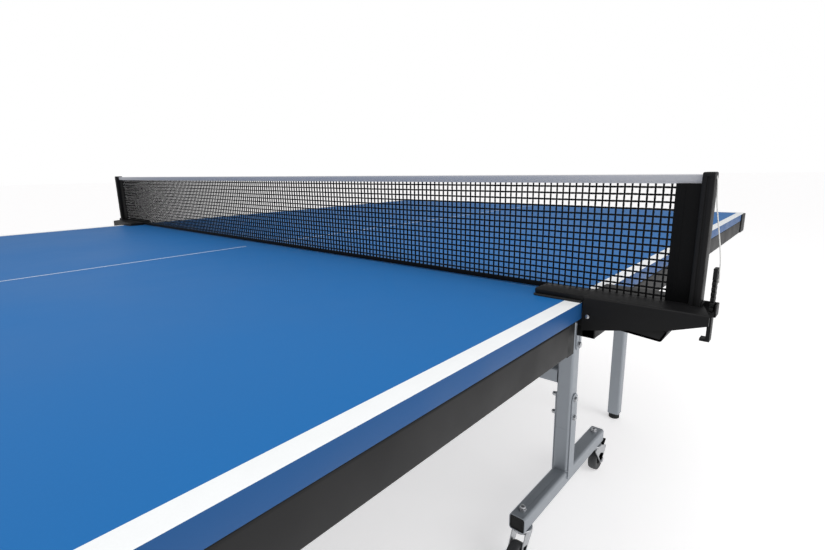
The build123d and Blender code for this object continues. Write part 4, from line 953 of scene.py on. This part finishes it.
class TABLE_OT_stage(bpy.types.Operator):
    """Pale floor, soft studio light and the camera"""
    bl_idname = "table.stage"
    bl_label = "Stage"

    def execute(self, context):
        scene = context.scene
        scene.view_settings.view_transform = "Standard"
        bm = bmesh.new()
        bmesh.ops.create_grid(bm, x_segments=1, y_segments=1, size=60)
        mesh = bpy.data.meshes.new("floor")
        bm.to_mesh(mesh)
        bm.free()
        floor = placed("floor", mesh)
        paint = surface("Painted studio floor", srgb("F4F4F4"), 0.9, ior=1.1, mottle=0.004, mottle_mm=900,
                        grain_mm=3, depth_mm=0.01)
        glow = next(n for n in paint.node_tree.nodes if n.type == "BSDF_PRINCIPLED")
        glow.inputs["Emission Color"].default_value = (1, 0.985, 0.99, 1)
        glow.inputs["Emission Strength"].default_value = 0.46
        mesh.materials.append(paint)
        world = bpy.data.worlds.new("Bright studio")
        world.use_nodes = True
        backdrop = world.node_tree.nodes["Background"]
        backdrop.inputs["Color"].default_value = (1, 1, 1, 1)
        seen = add_node(world.node_tree, "LightPath").outputs["Is Camera Ray"]
        level = add_node(world.node_tree, "MapRange", {"Value": seen, "To Min": 0.58})
        world.node_tree.links.new(level.outputs[0], backdrop.inputs["Strength"])
        scene.world = world
        for name, spot, aim, size, power in (
                ("overhead softbox", (-0.9, -0.6, 2.75), (-0.9, -0.6, 0), 2.2, 21),
                ("side softbox", (0.9, -3.9, 3.0), (0.4, -0.4, 0.4), 3.0, 42)):
            light = bpy.data.lights.new(name, "AREA")
            light.shape = "DISK"
            light.size = size
            light.energy = power
            lamp = placed(name, light)
            lamp.location = spot
            lamp.rotation_mode = "QUATERNION"
            lamp.rotation_quaternion = (Vector(aim) - Vector(spot)).to_track_quat("-Z", "Y")
        eye = (-0.6033, -0.977, 0.923)
        yaw, pitch, roll = (math.radians(a) for a in (41.06, -12.51, -0.95))
        forward = Vector((math.cos(yaw) * math.cos(pitch), math.sin(yaw) * math.cos(pitch), math.sin(pitch)))
        level = Vector((math.sin(yaw), -math.cos(yaw), 0))
        upright = level.cross(forward)
        right = math.cos(roll) * level + math.sin(roll) * upright
        up = -math.sin(roll) * level + math.cos(roll) * upright
        lens = bpy.data.cameras.new("camera")
        lens.lens = 20.83
        lens.sensor_width = 36
        lens.clip_start = 0.01
        camera = placed("camera", lens)
        turn = Matrix((right, up, -forward)).transposed()
        camera.matrix_world = moved(*eye) @ turn.to_4x4()
        scene.camera = camera
        return {"FINISHED"}


class TABLE_PT_pieces(bpy.types.Panel):
    """Lists the table's pieces, sizes and colours"""
    bl_label = "Table tennis table"
    bl_idname = "TABLE_PT_pieces"
    bl_space_type = "VIEW_3D"
    bl_region_type = "UI"
    bl_category = "Table"

    def draw(self, context):
        for operator in OPERATORS:
            self.layout.operator(operator.bl_idname)
        for holder in GROUPS:
            group = getattr(context.scene, holder)
            column = self.layout.column(align=True)
            for key in group.bl_rna.properties.keys():
                if key not in ("rna_type", "name"):
                    column.prop(group, key)


GROUPS = {"table_board": TableBoardSizes, "table_net": TableNetSizes, "table_frame": TableFrameSizes,
          "table_finishes": TableFinishes}
OPERATORS = (TABLE_OT_boards, TABLE_OT_aprons, TABLE_OT_chassis, TABLE_OT_fasteners, TABLE_OT_castors,
             TABLE_OT_rubber_feet, TABLE_OT_clamps, TABLE_OT_net_posts, TABLE_OT_net, TABLE_OT_head_cords,
             TABLE_OT_stage)


def register():
    for holder, group in GROUPS.items():
        bpy.utils.register_class(group)
        setattr(bpy.types.Scene, holder, bpy.props.PointerProperty(type=group))
    for made in OPERATORS + (TABLE_PT_pieces,):
        bpy.utils.register_class(made)


def unregister():
    for made in (TABLE_PT_pieces,) + tuple(reversed(OPERATORS)):
        bpy.utils.unregister_class(made)
    for holder, group in GROUPS.items():
        delattr(bpy.types.Scene, holder)
        bpy.utils.unregister_class(group)


def main():
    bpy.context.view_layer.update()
    register()
    for operator in OPERATORS:
        getattr(bpy.ops.table, operator.bl_idname.split(".")[1])()


if __name__ == "__main__":
    main()
